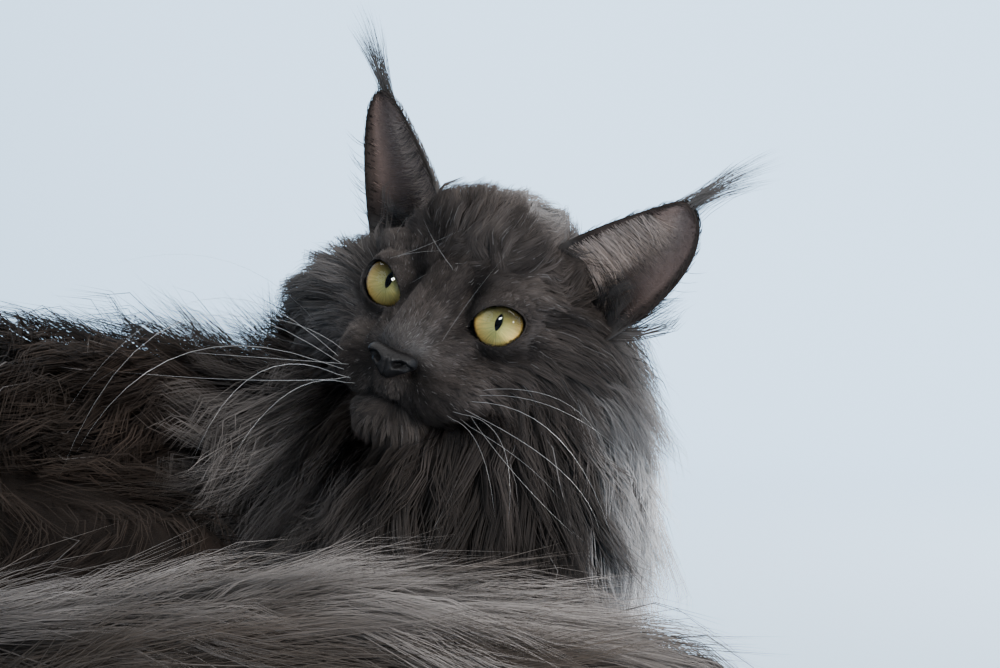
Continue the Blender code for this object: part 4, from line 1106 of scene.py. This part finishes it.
def grow_ears(draw, finish):
    """Fur on the back of the ears, long hair that streams over their cups, rims and the tufts at their tips."""
    made = []
    for side, name in ((1, "left"), (-1, "right")):
        flip = np.array((side, 1.0, 1.0))
        strands = []

        def add(path, normal, width, colour, u, v, front):
            strands.append((path, normal, width, colour, (u, v, front)))

        def over(u, v, du, dv, length, lift, front, points=4):
            """A strand that runs over the ear's surface by du and dv, and rises from it by lift."""
            way = -1.0 if front else 1.0
            path = []
            for s in RINGS[points]:
                at = (min(max(u + du * s, -0.1), 0.985), min(max(v + dv * s, -1.0), 1.0))
                out = EAR_THICKNESS * 0.4 + lift * (1 - (1 - s) ** 1.6) - (0.001 if s == 0 else 0.0)
                path.append(np.array(ear_place(side, *at) + ear_normal(side, *at) * way * out))
            jitter = draw.normal(size=3) * length * 0.05
            return [p + jitter * s ** 1.5 for p, s in zip(path, RINGS[points])]

        height = (EAR_TIP - EAR_INNER).length
        for _ in range(1300):
            u, v = draw.uniform(-0.02, 0.95), draw.uniform(-1, 1)
            length = 0.0075 - 0.003 * u
            path = over(u, v, length / height, 0.02 * draw.normal(), length, 0.0011, False)
            add(path, ear_normal(side, u, v), 0.00050, SMOKE * draw.uniform(0.7, 1.2), u, v, False)
        # Strands inside the ears and streaming over their cups take each ear's level, so the far, right ear's are
        # darker as painted shade.
        for _ in range(800):
            u, v = draw.uniform(0.0, 0.93), draw.uniform(-1, 1)
            length = 0.0055
            path = over(u, v, 0.3 * length / height, 0.11, length, 0.0006, True)
            tint = EAR_PINK * draw.uniform(0.7, 1.4) * EAR_SHADE_LEVELS[side] if abs(v) < 0.80 else DARK
            add(path, -ear_normal(side, u, v), 0.00030, tint, u, v, True)
        for _ in range(1000):
            u = draw.uniform(-0.02, 0.66)
            v = -1.0 + abs(draw.normal()) * 0.16
            reach = draw.uniform(0.8, 1.75) * (1.0 - 0.35 * u)
            lift = draw.uniform(0.0010, 0.0060)
            path = over(u, v, draw.uniform(-0.06, 0.12), reach, 0.030, lift, True, 5)
            tint = (EAR_PALE * EAR_SHADE_LEVELS[side] if draw.uniform() < 0.88 else SMOKE) * draw.uniform(0.7, 2.0)
            add(path, -ear_normal(side, u, v), 0.00024, tint, u, v, True)
        for _ in range(420):
            edge = 1 if draw.uniform() < 0.55 else -1
            u = draw.uniform(0.0, 0.96)
            base = ear_place(side, u, edge)
            out = (ear_place(side, u, edge) - ear_place(side, u, edge * 0.8)).normalized()
            up = (EAR_TIP - base).normalized()
            length = draw.uniform(0.003, 0.0055) + (0.012 * draw.uniform() ** 9)
            head = (out * 0.35 + up + EAR_BACK * draw.normal() * 0.2).normalized()
            start = base - out * 0.001
            path = [np.array(start + head * length * s) for s in RINGS[4]]
            add(path, -np.array(EAR_BACK), 0.00026, SMOKE * draw.uniform(0.4, 1.0), u, edge, True)
        for _ in range(26 if side < 0 else 9):
            u = draw.uniform(0.0, 0.55)
            start = ear_place(side, u, 1.0)
            head = Vector((1.0, 0.25 + 0.2 * draw.normal(), 0.05 + 0.15 * draw.normal())).normalized()
            length = draw.uniform(0.009, 0.018)
            path = [np.array(start + (head * s + Vector((0.0, 0.0, 0.3)) * s * s) * length) for s in RINGS[5]]
            add(path, -np.array(EAR_BACK), 0.00022, SMOKE * draw.uniform(0.6, 1.6), u, 1.0, False)
        # The tufts' pale colour is partly painted light shining through the fine hairs.
        for _ in range(190):
            spread, share = WISPS[draw.integers(len(WISPS))]
            bias = spread + draw.normal() * 0.030
            head = Vector((0.50 + 0.5 * bias, 0.05 + draw.normal() * 0.03, 0.86 - 0.35 * bias)).normalized()
            droop = Vector((0.16 + 0.30 * bias, 0.08, -0.10))
            length = 0.052 * share * draw.uniform(0.45, 1.04)
            u = draw.uniform(0.80, 0.98)
            start = ear_place(side, u, float(np.clip(-0.35 + draw.normal() * 0.35, -0.95, 0.6)))
            path = [np.array(start + head * length * s + droop * length * s ** 2) for s in RINGS[5]]
            gather = (np.array(ear_place(side, 0.985, 0.0)) - path[0]) * 0.60
            path = [p + gather * (1 - (1 - s) ** 2) for p, s in zip(path, RINGS[5])]
            add(path, -np.array(EAR_BACK), 0.00020, TUFT * draw.uniform(0.5, 1.4), u, 0.0, False)
        for points in (4, 5):
            own = [each for each in strands if len(each[0]) == points]
            paths = np.array([[np.array(HEAD @ Vector(p * flip)) for p in each[0]] for each in own])
            normals = turned(np.array([each[1] for each in own]) * flip)
            spots = np.array([(((each[4][1] + 1) / 2 * 0.48) + (0.0 if each[4][2] else 0.52),
                               min(max(each[4][0], 0.0), 1.0)) for each in own])
            made.append(strand_piece(f"coat_ear_{name}_{'fine' if points == 4 else 'long'}", paths, normals,
                                     np.array([each[2] for each in own]), np.array([each[3] for each in own]),
                                     on_atlas(f"ear_{name}", spots), RINGS[points], finish))
    return made


CAMERA = Vector((0.0, -1.0, 0.21))
FOCAL = 2250.0
CENTRE = (500.0, 334.0)
LENS = 81.0


def pixel_ray(px, py):
    """The direction from the camera through a pixel of the 1000 by 668 frame."""
    return Vector(((px - CENTRE[0]) / FOCAL, 1.0, (CENTRE[1] - py) / FOCAL))


def at_depth(px, py, depth):
    return CAMERA + pixel_ray(px, py) * depth


MUZZLE_DEPTH = 1.01

# Whiskers and brow hairs by pixels: root, bend and tip, with how much nearer to the camera the tip is, and the width.
WHISKERS = (
    ((340, 352), (250, 330), (125, 282), 0.02, 0.00042, True), ((334, 346), (230, 262), (95, 270), 0.01, 0.00036, True),
    ((338, 358), (200, 300), (60, 420), 0.05, 0.00055, False), ((342, 366), (180, 322), (58, 480), 0.05, 0.00060, False),
    ((346, 372), (190, 352), (75, 455), 0.06, 0.00060, False), ((350, 378), (250, 380), (120, 372), 0.06, 0.00050, False),
    ((352, 382), (260, 372), (190, 468), 0.07, 0.00060, False), ((356, 386), (290, 392), (225, 470), 0.07, 0.00050, False),
    ((344, 350), (270, 318), (180, 326), 0.03, 0.00045, False), ((350, 364), (240, 356), (185, 352), 0.05, 0.00045, False),
    ((346, 388), (347, 430), (331, 480), 0.06, 0.00030, False),
    ((470, 402), (560, 440), (618, 560), 0.05, 0.00060, False), ((464, 410), (560, 470), (600, 535), 0.06, 0.00055, False),
    ((452, 414), (500, 440), (508, 525), 0.07, 0.00050, False), ((446, 418), (478, 445), (495, 520), 0.07, 0.00045, False),
    ((476, 396), (560, 410), (640, 470), 0.04, 0.00045, False), ((470, 416), (520, 480), (580, 540), 0.06, 0.00045, False),
    ((480, 390), (560, 400), (605, 450), 0.03, 0.00040, False), ((458, 420), (520, 460), (560, 500), 0.06, 0.00040, False),
)
BROWS = (
    ((441, 343), (470, 300), (505, 256), 0.008, 0.00022, False), ((393, 273), (394, 240), (415, 209), 0.010, 0.00030, False),
    ((455, 271), (437, 246), (423, 218), 0.008, 0.00032, False), ((386, 259), (420, 248), (467, 227), 0.012, 0.00026, False),
    ((395, 257), (420, 252), (448, 251), 0.012, 0.00024, False), ((410, 284), (440, 268), (467, 263), 0.010, 0.00026, False),
)


def grow_whiskers(skin, draw, finish):
    """Whiskers and long brow hairs, rooted where the camera's rays meet the skin."""
    shares = RINGS[13]
    for name, rows in (("whiskers", WHISKERS), ("brow_hairs", BROWS)):
        paths, widths, colours = [], [], []
        for root, bend, tip, nearer, width, dark in rows:
            hit, normal, _, _ = skin.tree.ray_cast(CAMERA, pixel_ray(*root).normalized())
            if hit is None:
                hit, normal, _, _ = skin.tree.find_nearest(at_depth(*root, MUZZLE_DEPTH))
            depth = hit.y - CAMERA.y
            middle = at_depth(*bend, depth - nearer * 0.7)
            end = at_depth(*tip, depth - nearer)
            control = middle * 2 - (hit + end) / 2
            path = [hit * (1 - s) ** 2 + control * 2 * s * (1 - s) + end * s * s for s in shares]
            path[0] = hit - normal * 0.002
            paths.append([list(p) for p in path])
            widths.append(width * 0.34)
            colours.append(DARK * 1.2 if dark else np.array((0.22, 0.215, 0.21)))
        paths = np.array(paths)
        normals = np.tile((0.0, -1.0, 0.0), (len(paths), 1))
        squares = on_atlas("head", np.full((len(paths), 2), 0.5) + draw.uniform(-0.1, 0.1, (len(paths), 2)))
        piece = strand_piece(name, paths, normals, np.array(widths), np.array(colours), squares, shares, finish, 0.9)
        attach(piece, BODY)


def tone_material(name, roughness, specular, root, tip, grain, bump=0.0):
    """Fur: the colour painted on the mesh, darker at the root and paler at the tip, partly silver tipping and partly
    painted shade deep in the coat, with a fine uneven grain.
    """
    made = bpy.data.materials.new(name)
    made.use_nodes = True
    nodes, links = made.node_tree.nodes, made.node_tree.links
    shader = nodes["Principled BSDF"]
    shader.inputs["Roughness"].default_value = roughness
    shader.inputs["Specular IOR Level"].default_value = specular
    tone = nodes.new("ShaderNodeAttribute")
    tone.attribute_name = "tone"
    place = nodes.new("ShaderNodeTexCoord")
    noise = nodes.new("ShaderNodeTexNoise")
    noise.inputs["Scale"].default_value = grain
    noise.inputs["Detail"].default_value = 3.0
    links.new(place.outputs["Object"], noise.inputs["Vector"])
    uneven = nodes.new("ShaderNodeMapRange")
    uneven.inputs["To Min"].default_value = 0.80
    uneven.inputs["To Max"].default_value = 1.20
    links.new(noise.outputs["Fac"], uneven.inputs["Value"])
    # Partly painted shade: the colour darkens towards the root, deep in the coat.
    along = nodes.new("ShaderNodeAttribute")
    along.attribute_name = "along"
    rising = nodes.new("ShaderNodeMapRange")
    rising.inputs["To Min"].default_value = root
    rising.inputs["To Max"].default_value = tip
    links.new(along.outputs["Fac"], rising.inputs["Value"])
    both = nodes.new("ShaderNodeMath")
    both.operation = "MULTIPLY"
    links.new(uneven.outputs["Result"], both.inputs[0])
    links.new(rising.outputs["Result"], both.inputs[1])
    scale = nodes.new("ShaderNodeVectorMath")
    scale.operation = "SCALE"
    links.new(tone.outputs["Color"], scale.inputs[0])
    links.new(both.outputs["Value"], scale.inputs["Scale"])
    links.new(scale.outputs["Vector"], shader.inputs["Base Color"])
    if bump:
        fine = nodes.new("ShaderNodeTexNoise")
        fine.inputs["Scale"].default_value = grain * 3
        fine.inputs["Detail"].default_value = 6.0
        links.new(place.outputs["Object"], fine.inputs["Vector"])
        relief = nodes.new("ShaderNodeBump")
        relief.inputs["Strength"].default_value = bump
        relief.inputs["Distance"].default_value = 0.001
        links.new(fine.outputs["Fac"], relief.inputs["Height"])
        links.new(relief.outputs["Normal"], shader.inputs["Normal"])
    return made


def plain_material(name, colour, roughness, **others):
    made = bpy.data.materials.new(name)
    made.use_nodes = True
    shader = made.node_tree.nodes["Principled BSDF"]
    shader.inputs["Base Color"].default_value = (*colour, 1.0)
    shader.inputs["Roughness"].default_value = roughness
    for socket, value in others.items():
        shader.inputs[socket.replace("_", " ")].default_value = value
    return made


# How high on the iris the painted shade of the upper lid begins and is full, and the levels there.
LID_SHADE_REACH = (-0.40, 0.50)
LID_SHADE = (1.45, 0.08)


def iris_material(level):
    """Gold fibres round the pupil, greener towards it and brown at the rim, under painted shade from the upper lid;
    level scales its colours.
    """
    made = plain_material("iris", (0.6, 0.5, 0.2), 0.5, Specular_IOR_Level=0.01)
    nodes, links = made.node_tree.nodes, made.node_tree.links
    shader = nodes["Principled BSDF"]
    spot = nodes.new("ShaderNodeAttribute")
    spot.attribute_name = "iris"
    split = nodes.new("ShaderNodeSeparateXYZ")
    links.new(spot.outputs["Vector"], split.inputs["Vector"])
    stretch = nodes.new("ShaderNodeVectorMath")
    stretch.operation = "MULTIPLY"
    stretch.inputs[1].default_value = (1.2, 9.0, 9.0)
    links.new(spot.outputs["Vector"], stretch.inputs[0])
    fibres = nodes.new("ShaderNodeTexNoise")
    fibres.inputs["Scale"].default_value = 1.6
    fibres.inputs["Detail"].default_value = 5.0
    links.new(stretch.outputs["Vector"], fibres.inputs["Vector"])
    ramp = nodes.new("ShaderNodeValToRGB")
    stops = ((0.0, (0.40, 0.37, 0.125)), (0.20, (0.54, 0.47, 0.150)), (0.55, (0.66, 0.51, 0.165)),
             (0.88, (0.74, 0.49, 0.140)), (0.96, (0.18, 0.095, 0.028)), (1.0, (0.02, 0.015, 0.010)))
    while len(ramp.color_ramp.elements) < len(stops):
        ramp.color_ramp.elements.new(0.5)
    for element, (where, colour) in zip(ramp.color_ramp.elements, stops):
        element.position = where
        element.color = (*colour, 1.0)
    wobble = nodes.new("ShaderNodeMath")
    wobble.operation = "MULTIPLY_ADD"
    wobble.inputs[1].default_value = 0.16
    links.new(fibres.outputs["Fac"], wobble.inputs[0])
    shifted = nodes.new("ShaderNodeMath")
    shifted.operation = "ADD"
    shifted.inputs[1].default_value = -0.08
    links.new(split.outputs["X"], wobble.inputs[2])
    links.new(wobble.outputs["Value"], shifted.inputs[0])
    links.new(shifted.outputs["Value"], ramp.inputs["Fac"])
    uneven = nodes.new("ShaderNodeMapRange")
    uneven.inputs["From Min"].default_value = 0.3
    uneven.inputs["From Max"].default_value = 0.7
    uneven.inputs["To Min"].default_value = 0.78
    uneven.inputs["To Max"].default_value = 1.18
    links.new(fibres.outputs["Fac"], uneven.inputs["Value"])
    # Painted shade: the iris darkens towards its top, where the upper lid shades it, and is brighter below.
    height = nodes.new("ShaderNodeAttribute")
    height.attribute_name = "rise"
    lid = nodes.new("ShaderNodeMapRange")
    lid.interpolation_type = "SMOOTHSTEP"
    lid.inputs["From Min"].default_value, lid.inputs["From Max"].default_value = LID_SHADE_REACH
    lid.inputs["To Min"].default_value = LID_SHADE[0] * level
    lid.inputs["To Max"].default_value = LID_SHADE[1] * level
    links.new(height.outputs["Fac"], lid.inputs["Value"])
    level = nodes.new("ShaderNodeMath")
    level.operation = "MULTIPLY"
    links.new(uneven.outputs["Result"], level.inputs[0])
    links.new(lid.outputs["Result"], level.inputs[1])
    scale = nodes.new("ShaderNodeVectorMath")
    scale.operation = "SCALE"
    links.new(ramp.outputs["Color"], scale.inputs[0])
    links.new(level.outputs["Value"], scale.inputs["Scale"])
    links.new(scale.outputs["Vector"], shader.inputs["Base Color"])
    relief = nodes.new("ShaderNodeBump")
    relief.inputs["Strength"].default_value = 0.25
    relief.inputs["Distance"].default_value = 0.0004
    links.new(fibres.outputs["Fac"], relief.inputs["Height"])
    links.new(relief.outputs["Normal"], shader.inputs["Normal"])
    return made


def cornea_material():
    """A clear wet film: transparent, with a sharp reflection that grows at its edges."""
    made = bpy.data.materials.new("cornea")
    made.use_nodes = True
    nodes, links = made.node_tree.nodes, made.node_tree.links
    nodes.remove(nodes["Principled BSDF"])
    clear = nodes.new("ShaderNodeBsdfTransparent")
    gloss = nodes.new("ShaderNodeBsdfGlossy")
    gloss.inputs["Roughness"].default_value = 0.03
    gloss.inputs["Color"].default_value = (0.45, 0.45, 0.45, 1.0)
    rim = nodes.new("ShaderNodeFresnel")
    rim.inputs["IOR"].default_value = 1.40
    mix = nodes.new("ShaderNodeMixShader")
    links.new(rim.outputs["Fac"], mix.inputs["Fac"])
    links.new(clear.outputs["BSDF"], mix.inputs[1])
    links.new(gloss.outputs["BSDF"], mix.inputs[2])
    links.new(mix.outputs["Shader"], nodes["Material Output"].inputs["Surface"])
    return made


IRIS_RINGS = 14
EYE_STEPS = 96
IRIS_SINK = 0.0020


def make_eye(side, name, finishes):
    """An eyeball with a slit pupil sunk in a domed iris, under a clear cornea."""
    ahead = GAZES[side]
    upward = (Vector((0.0, 0.0, 1.0)) - ahead * ahead.z).normalized()
    across = upward.cross(ahead).normalized()
    centre = eye_centre(side)

    def spot(x, y, z):
        return HEAD @ (centre + across * x + upward * y + ahead * z)

    def dome(radius):
        return math.sqrt(max(EYE_RADIUS ** 2 - radius ** 2, 0.0))

    rings, tags = [], []
    angles = [2 * math.pi * i / EYE_STEPS for i in range(EYE_STEPS)]
    for polar in (150, 135, 120, 105, 92, 80, 70, 62):
        radius = EYE_RADIUS * 0.995 * math.sin(math.radians(polar))
        rings.append([spot(math.cos(a) * radius, math.sin(a) * radius, EYE_RADIUS * 0.995 * math.cos(math.radians(polar)))
                      for a in angles])
        tags.append(1.0)
    for k in range(IRIS_RINGS + 1):
        share = 1.0 - k / IRIS_RINGS
        ring = []
        for a in angles:
            slit = Vector((math.copysign(abs(math.cos(a)) ** 1.6, math.cos(a)) * PUPIL[0], math.sin(a) * PUPIL[1]))
            rim = Vector((math.cos(a), math.sin(a))) * IRIS_RADIUS
            flat = slit.lerp(rim, share)
            sink = IRIS_SINK * (1.0 - (flat.length / IRIS_RADIUS) ** 2) + 0.0002
            ring.append(spot(flat.x, flat.y, dome(flat.length) - sink))
        rings.append(ring)
        tags.append(share)
    well = [spot(math.copysign(abs(math.cos(a)) ** 1.6, math.cos(a)) * PUPIL[0] * 0.9, math.sin(a) * PUPIL[1] * 0.9,
                 dome(0.0) - IRIS_SINK - 0.0016) for a in angles]
    rings.append(well)
    tags.append(0.0)
    bm = bmesh.new()
    layer = bm.verts.layers.float_vector.new("iris")
    rise = bm.verts.layers.float.new("rise")
    shade_way = HEAD.to_3x3() @ (upward * 0.97 + across * 0.18)
    middle = HEAD @ centre
    made = []
    for ring, tag in zip(rings, tags):
        row = []
        for a, place in zip(angles, ring):
            vert = bm.verts.new(place)
            vert[layer] = (tag, math.cos(a), math.sin(a))
            vert[rise] = (place - middle).dot(shade_way) / IRIS_RADIUS
            row.append(vert)
        made.append(row)
    first_iris = 8
    for r, (outer, inner) in enumerate(zip(made, made[1:])):
        for i in range(EYE_STEPS):
            j = (i + 1) % EYE_STEPS
            face = bm.faces.new((outer[i], outer[j], inner[j], inner[i]))
            face.smooth = True
            face.material_index = 1 if first_iris <= r < first_iris + IRIS_RINGS else 2 if r >= first_iris else 0
    bm.faces.new(made[0][::-1])
    floor = bm.faces.new(made[-1])
    floor.material_index = 2
    bmesh.ops.recalc_face_normals(bm, faces=bm.faces)
    bmesh.ops.translate(bm, verts=bm.verts, vec=Vector(OFFSET))
    ball_piece = add_object(f"eyeball_{name}", mesh_from(bm))
    for finish in finishes[:3]:
        ball_piece.data.materials.append(finish)
    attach(ball_piece, BODY)
    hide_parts(f"eye_{name}")
    bm = bmesh.new()
    shells = []
    for radius, way in ((EYE_RADIUS, 1), (EYE_RADIUS - 0.00025, -1)):
        rows = []
        for k in range(17):
            polar = math.radians(1.0 + 61.0 * k / 16)
            rows.append([bm.verts.new(spot(math.cos(a) * radius * math.sin(polar), math.sin(a) * radius * math.sin(polar),
                                           radius * math.cos(polar))) for a in angles[::2]])
        top = bm.faces.new(rows[0])
        top.material_index = 0 if way == 1 else 1
        for upper, lower in zip(rows, rows[1:]):
            for i in range(len(upper)):
                j = (i + 1) % len(upper)
                face = bm.faces.new((upper[i], upper[j], lower[j], lower[i]))
                face.smooth = True
                face.material_index = 0 if way == 1 else 1
        shells.append(rows[-1])
    for i in range(len(shells[0])):
        j = (i + 1) % len(shells[0])
        bm.faces.new((shells[0][i], shells[0][j], shells[1][j], shells[1][i]))
    bmesh.ops.recalc_face_normals(bm, faces=bm.faces)
    bmesh.ops.translate(bm, verts=bm.verts, vec=Vector(OFFSET))
    cornea = add_object(f"cornea_{name}", mesh_from(bm))
    cornea.data.materials.append(finishes[3])
    cornea.data.materials.append(finishes[4])
    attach(cornea, BODY)


def leather_material():
    """Nose leather: near-black, pebbled and a little moist."""
    made = plain_material("nose_leather", (0.020, 0.019, 0.021), 0.50, Specular_IOR_Level=0.12)
    nodes, links = made.node_tree.nodes, made.node_tree.links
    shader = nodes["Principled BSDF"]
    place = nodes.new("ShaderNodeTexCoord")
    cells = nodes.new("ShaderNodeTexVoronoi")
    cells.inputs["Scale"].default_value = 1500.0
    links.new(place.outputs["Object"], cells.inputs["Vector"])
    relief = nodes.new("ShaderNodeBump")
    relief.inputs["Strength"].default_value = 0.5
    relief.inputs["Distance"].default_value = 0.0003
    links.new(cells.outputs["Distance"], relief.inputs["Height"])
    links.new(relief.outputs["Normal"], shader.inputs["Normal"])
    noise = nodes.new("ShaderNodeTexNoise")
    noise.inputs["Scale"].default_value = 260.0
    links.new(place.outputs["Object"], noise.inputs["Vector"])
    ramp = nodes.new("ShaderNodeValToRGB")
    ramp.color_ramp.elements[0].color = (0.0040, 0.0034, 0.0034, 1.0)
    ramp.color_ramp.elements[1].color = (0.0090, 0.0078, 0.0078, 1.0)
    links.new(noise.outputs["Fac"], ramp.inputs["Fac"])
    links.new(ramp.outputs["Color"], shader.inputs["Base Color"])
    return made


def make_nose(finish):
    """The nose leather: a rounded wedge with comma-shaped nostrils."""
    wings = [oval((side * 0.0088, -0.0375, -0.0239), (0.0040, 0.0048, 0.0036)) for side in (1, -1)]
    hulls = [[*wings, oval((0.0, -0.0385, -0.0250), (0.0080, 0.0052, 0.0034)),
              oval((0.0, -0.0385, -0.0305), (0.0040, 0.0048, 0.0036))]]
    nose = blob("nose_pad", hulls, 0.0006, 8, HEAD)
    places = vertex_array(nose.data)
    local = to_head(places)
    normals = normal_array(nose.data)
    depth = np.zeros(len(local))
    for side in (1, -1):
        hole = [(side * 0.0048, -0.0440, -0.0262), (side * 0.0072, -0.0430, -0.0250), (side * 0.0104, -0.0400, -0.0262)]
        depth = np.maximum(depth, 0.0042 * np.exp(-(line_distance(local, hole) / 0.0017) ** 4))
    cleft = np.abs(local[:, 0])
    depth += 0.0007 * np.exp(-(cleft / 0.0007) ** 2) * ease(local[:, 2], -0.022, -0.027)
    places -= normals * depth[:, None]
    places += OFFSET
    nose.data.vertices.foreach_set("co", places.ravel())
    nose.data.shade_smooth()
    nose.data.materials.append(finish)
    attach(nose, BODY)
    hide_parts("nose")


BACKDROP = (0.26, 0.32, 0.38)
GLOW = (0.575, 0.81, 1.06)
GLOW_STRENGTHS = (0.22, 2.4)
GLOW_REACH = (-1.8, 4.6)
GLOW_SLANT = 1.1


def backdrop_material():
    """Pale blue grey that glows behind the cat and falls off towards the viewer, as a room does in front of a window."""
    made = plain_material("backdrop", BACKDROP, 0.95, Specular_IOR_Level=0.0, Emission_Color=(*GLOW, 1.0))
    nodes, links = made.node_tree.nodes, made.node_tree.links
    place = nodes.new("ShaderNodeTexCoord")
    split = nodes.new("ShaderNodeSeparateXYZ")
    fall = nodes.new("ShaderNodeMapRange")
    fall.interpolation_type = "SMOOTHSTEP"
    fall.inputs["From Min"].default_value, fall.inputs["From Max"].default_value = GLOW_REACH
    fall.inputs["To Min"].default_value, fall.inputs["To Max"].default_value = GLOW_STRENGTHS
    links.new(place.outputs["Object"], split.inputs["Vector"])
    slant = nodes.new("ShaderNodeMath")
    slant.operation = "MULTIPLY_ADD"
    slant.inputs[1].default_value = GLOW_SLANT
    links.new(split.outputs["X"], slant.inputs[0])
    links.new(split.outputs["Y"], slant.inputs[2])
    links.new(slant.outputs["Value"], fall.inputs["Value"])
    links.new(fall.outputs["Result"], nodes["Principled BSDF"].inputs["Emission Strength"])
    return made


def sweep(finish):
    """A floor that curves up all round into a backdrop, so that no horizon shows."""
    flat, bend, high, steps = 2.6, 1.6, 4.2, 12
    profile = [(0.0, 0.0), (flat * 0.5, 0.0), (flat, 0.0)]
    profile += [(flat + bend * math.sin(a), bend * (1 - math.cos(a)))
                for a in (math.pi / 2 * (i + 1) / steps for i in range(steps))]
    profile.append((flat + bend, high))
    bm = bmesh.new()
    around = 72
    rows = []
    for radius, height in profile[1:]:
        rows.append([bm.verts.new((radius * math.cos(2 * math.pi * i / around), radius * math.sin(2 * math.pi * i / around),
                                   height)) for i in range(around)])
    middle = bm.verts.new((0.0, 0.0, 0.0))
    for i in range(around):
        j = (i + 1) % around
        bm.faces.new((middle, rows[0][i], rows[0][j])).smooth = True
        for lower, upper in zip(rows, rows[1:]):
            bm.faces.new((lower[i], upper[i], upper[j], lower[j])).smooth = True
    stage = add_object("stage_sweep", mesh_from(bm))
    stage.data.materials.append(finish)


def lamp(name, place, aim, size, power, colour=(1.0, 1.0, 1.0)):
    light = bpy.data.lights.new(name, "AREA")
    light.shape = "DISK"
    light.size = size
    light.energy = power
    light.color = colour
    obj = bpy.data.objects.new(name, light)
    bpy.context.scene.collection.objects.link(obj)
    obj.location = place
    obj.rotation_euler = (Vector(aim) - Vector(place)).to_track_quat("-Z", "Y").to_euler()
    obj.visible_camera = False
    return obj


# Lamps that the near eye mirrors: the pixel they are seen at, their size and their power.
CATCHLIGHTS = (("window", (500, 318), 0.24, 30.0), ("lamp", (513, 322), 0.13, 6.0))


def glint(px, py):
    """The place on the near eye seen at a pixel, and the way a ray from the camera is mirrored there."""
    ray = pixel_ray(px, py).normalized()
    centre = HEAD @ eye_centre(1)
    to_centre = centre - CAMERA
    ahead = to_centre.dot(ray)
    reach = ahead - math.sqrt(EYE_RADIUS ** 2 - (to_centre - ray * ahead).length_squared)
    place = CAMERA + ray * reach
    normal = (place - centre).normalized()
    return place + Vector(OFFSET), (ray - normal * 2 * ray.dot(normal)).normalized()


def light_and_camera():
    world = bpy.data.worlds.new("studio")
    bpy.context.scene.world = world
    world.use_nodes = True
    world.node_tree.nodes["Background"].inputs["Color"].default_value = (0.92, 0.96, 1.0, 1.0)
    world.node_tree.nodes["Background"].inputs["Strength"].default_value = 0.32
    middle = (0.0, 0.0, 0.2)
    lamp("key", (1.2, -0.8, 1.7), middle, 1.2, 38.0, (1.0, 0.97, 0.94))
    lamp("rim", (1.5, 0.9, 1.1), middle, 1.0, 62.0, (1.0, 0.98, 0.96))
    lamp("top", (-0.4, 0.5, 1.9), middle, 1.4, 30.0)
    lamp("fill", (-1.4, -0.9, 1.0), middle, 1.4, 13.0, (1.0, 0.98, 0.95))
    for name, spot, size, power in CATCHLIGHTS:
        place, way = glint(*spot)
        lamp(name, place + way * 1.1, place, size, power).visible_diffuse = False
    lamp("front", place + way * 1.1, place, 0.5, 13.5, (1.0, 0.96, 0.91)).visible_glossy = False
    data = bpy.data.cameras.new("camera")
    data.lens = LENS
    data.sensor_width = 36.0
    camera = bpy.data.objects.new("camera", data)
    bpy.context.scene.collection.objects.link(camera)
    camera.location = CAMERA + Vector(OFFSET)
    camera.rotation_euler = (math.pi / 2, 0.0, 0.0)
    bpy.context.scene.camera = camera


def frame_offset():
    """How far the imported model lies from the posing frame, from the middle of its left eye."""
    corners = np.array([v.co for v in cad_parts["eye_left"].data.vertices])
    terms = np.concatenate([2 * corners, np.ones((len(corners), 1))], 1)
    centre = np.linalg.lstsq(terms, (corners ** 2).sum(1), rcond=None)[0][:3]
    return centre - np.array(HEAD @ eye_centre(1))


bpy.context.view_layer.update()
OFFSET = frame_offset()


def main():
    draw = np.random.default_rng(SEED)
    fur = tone_material("coat", 0.72, 0.05, 0.66, 1.24, 130.0)
    hide = tone_material("hide", 0.85, 0.06, 1.0, 1.0, 300.0, 0.6)
    whisker = tone_material("whisker", 0.30, 0.50, 1.0, 1.0, 60.0)
    obj = make_skin()
    skin = Skin(obj)
    paint_skin(obj, skin)
    obj.data.materials.clear()
    obj.data.materials.append(hide)
    furred = skin.furred()
    names = coat_names(skin)
    for name in COATS:
        piece = grow_coat(skin, name, furred & (names == name), draw, fur)
        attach(piece, BODY)
    for piece in grow_ears(draw, fur):
        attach(piece, BODY)
    grow_whiskers(skin, draw, whisker)
    obj.data.transform(Matrix.Translation(OFFSET))
    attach(obj, BODY)
    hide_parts(*FLESH)
    white = plain_material("eye_white", (0.012, 0.010, 0.010), 0.15)
    pupil = plain_material("pupil", (0.001, 0.001, 0.001), 0.9, Specular_IOR_Level=0.0)
    cornea = cornea_material()
    clear = plain_material("clear", (1.0, 1.0, 1.0), 0.0, Alpha=0.0)
    # The far, right iris is darkened to 0.60 of the near one as painted shade of the brow.
    for side, name, level in ((1, "left", 1.0), (-1, "right", 0.60)):
        make_eye(side, name, (white, iris_material(level), pupil, cornea, clear))
    make_nose(leather_material())
    sweep(backdrop_material())
    light_and_camera()


main()
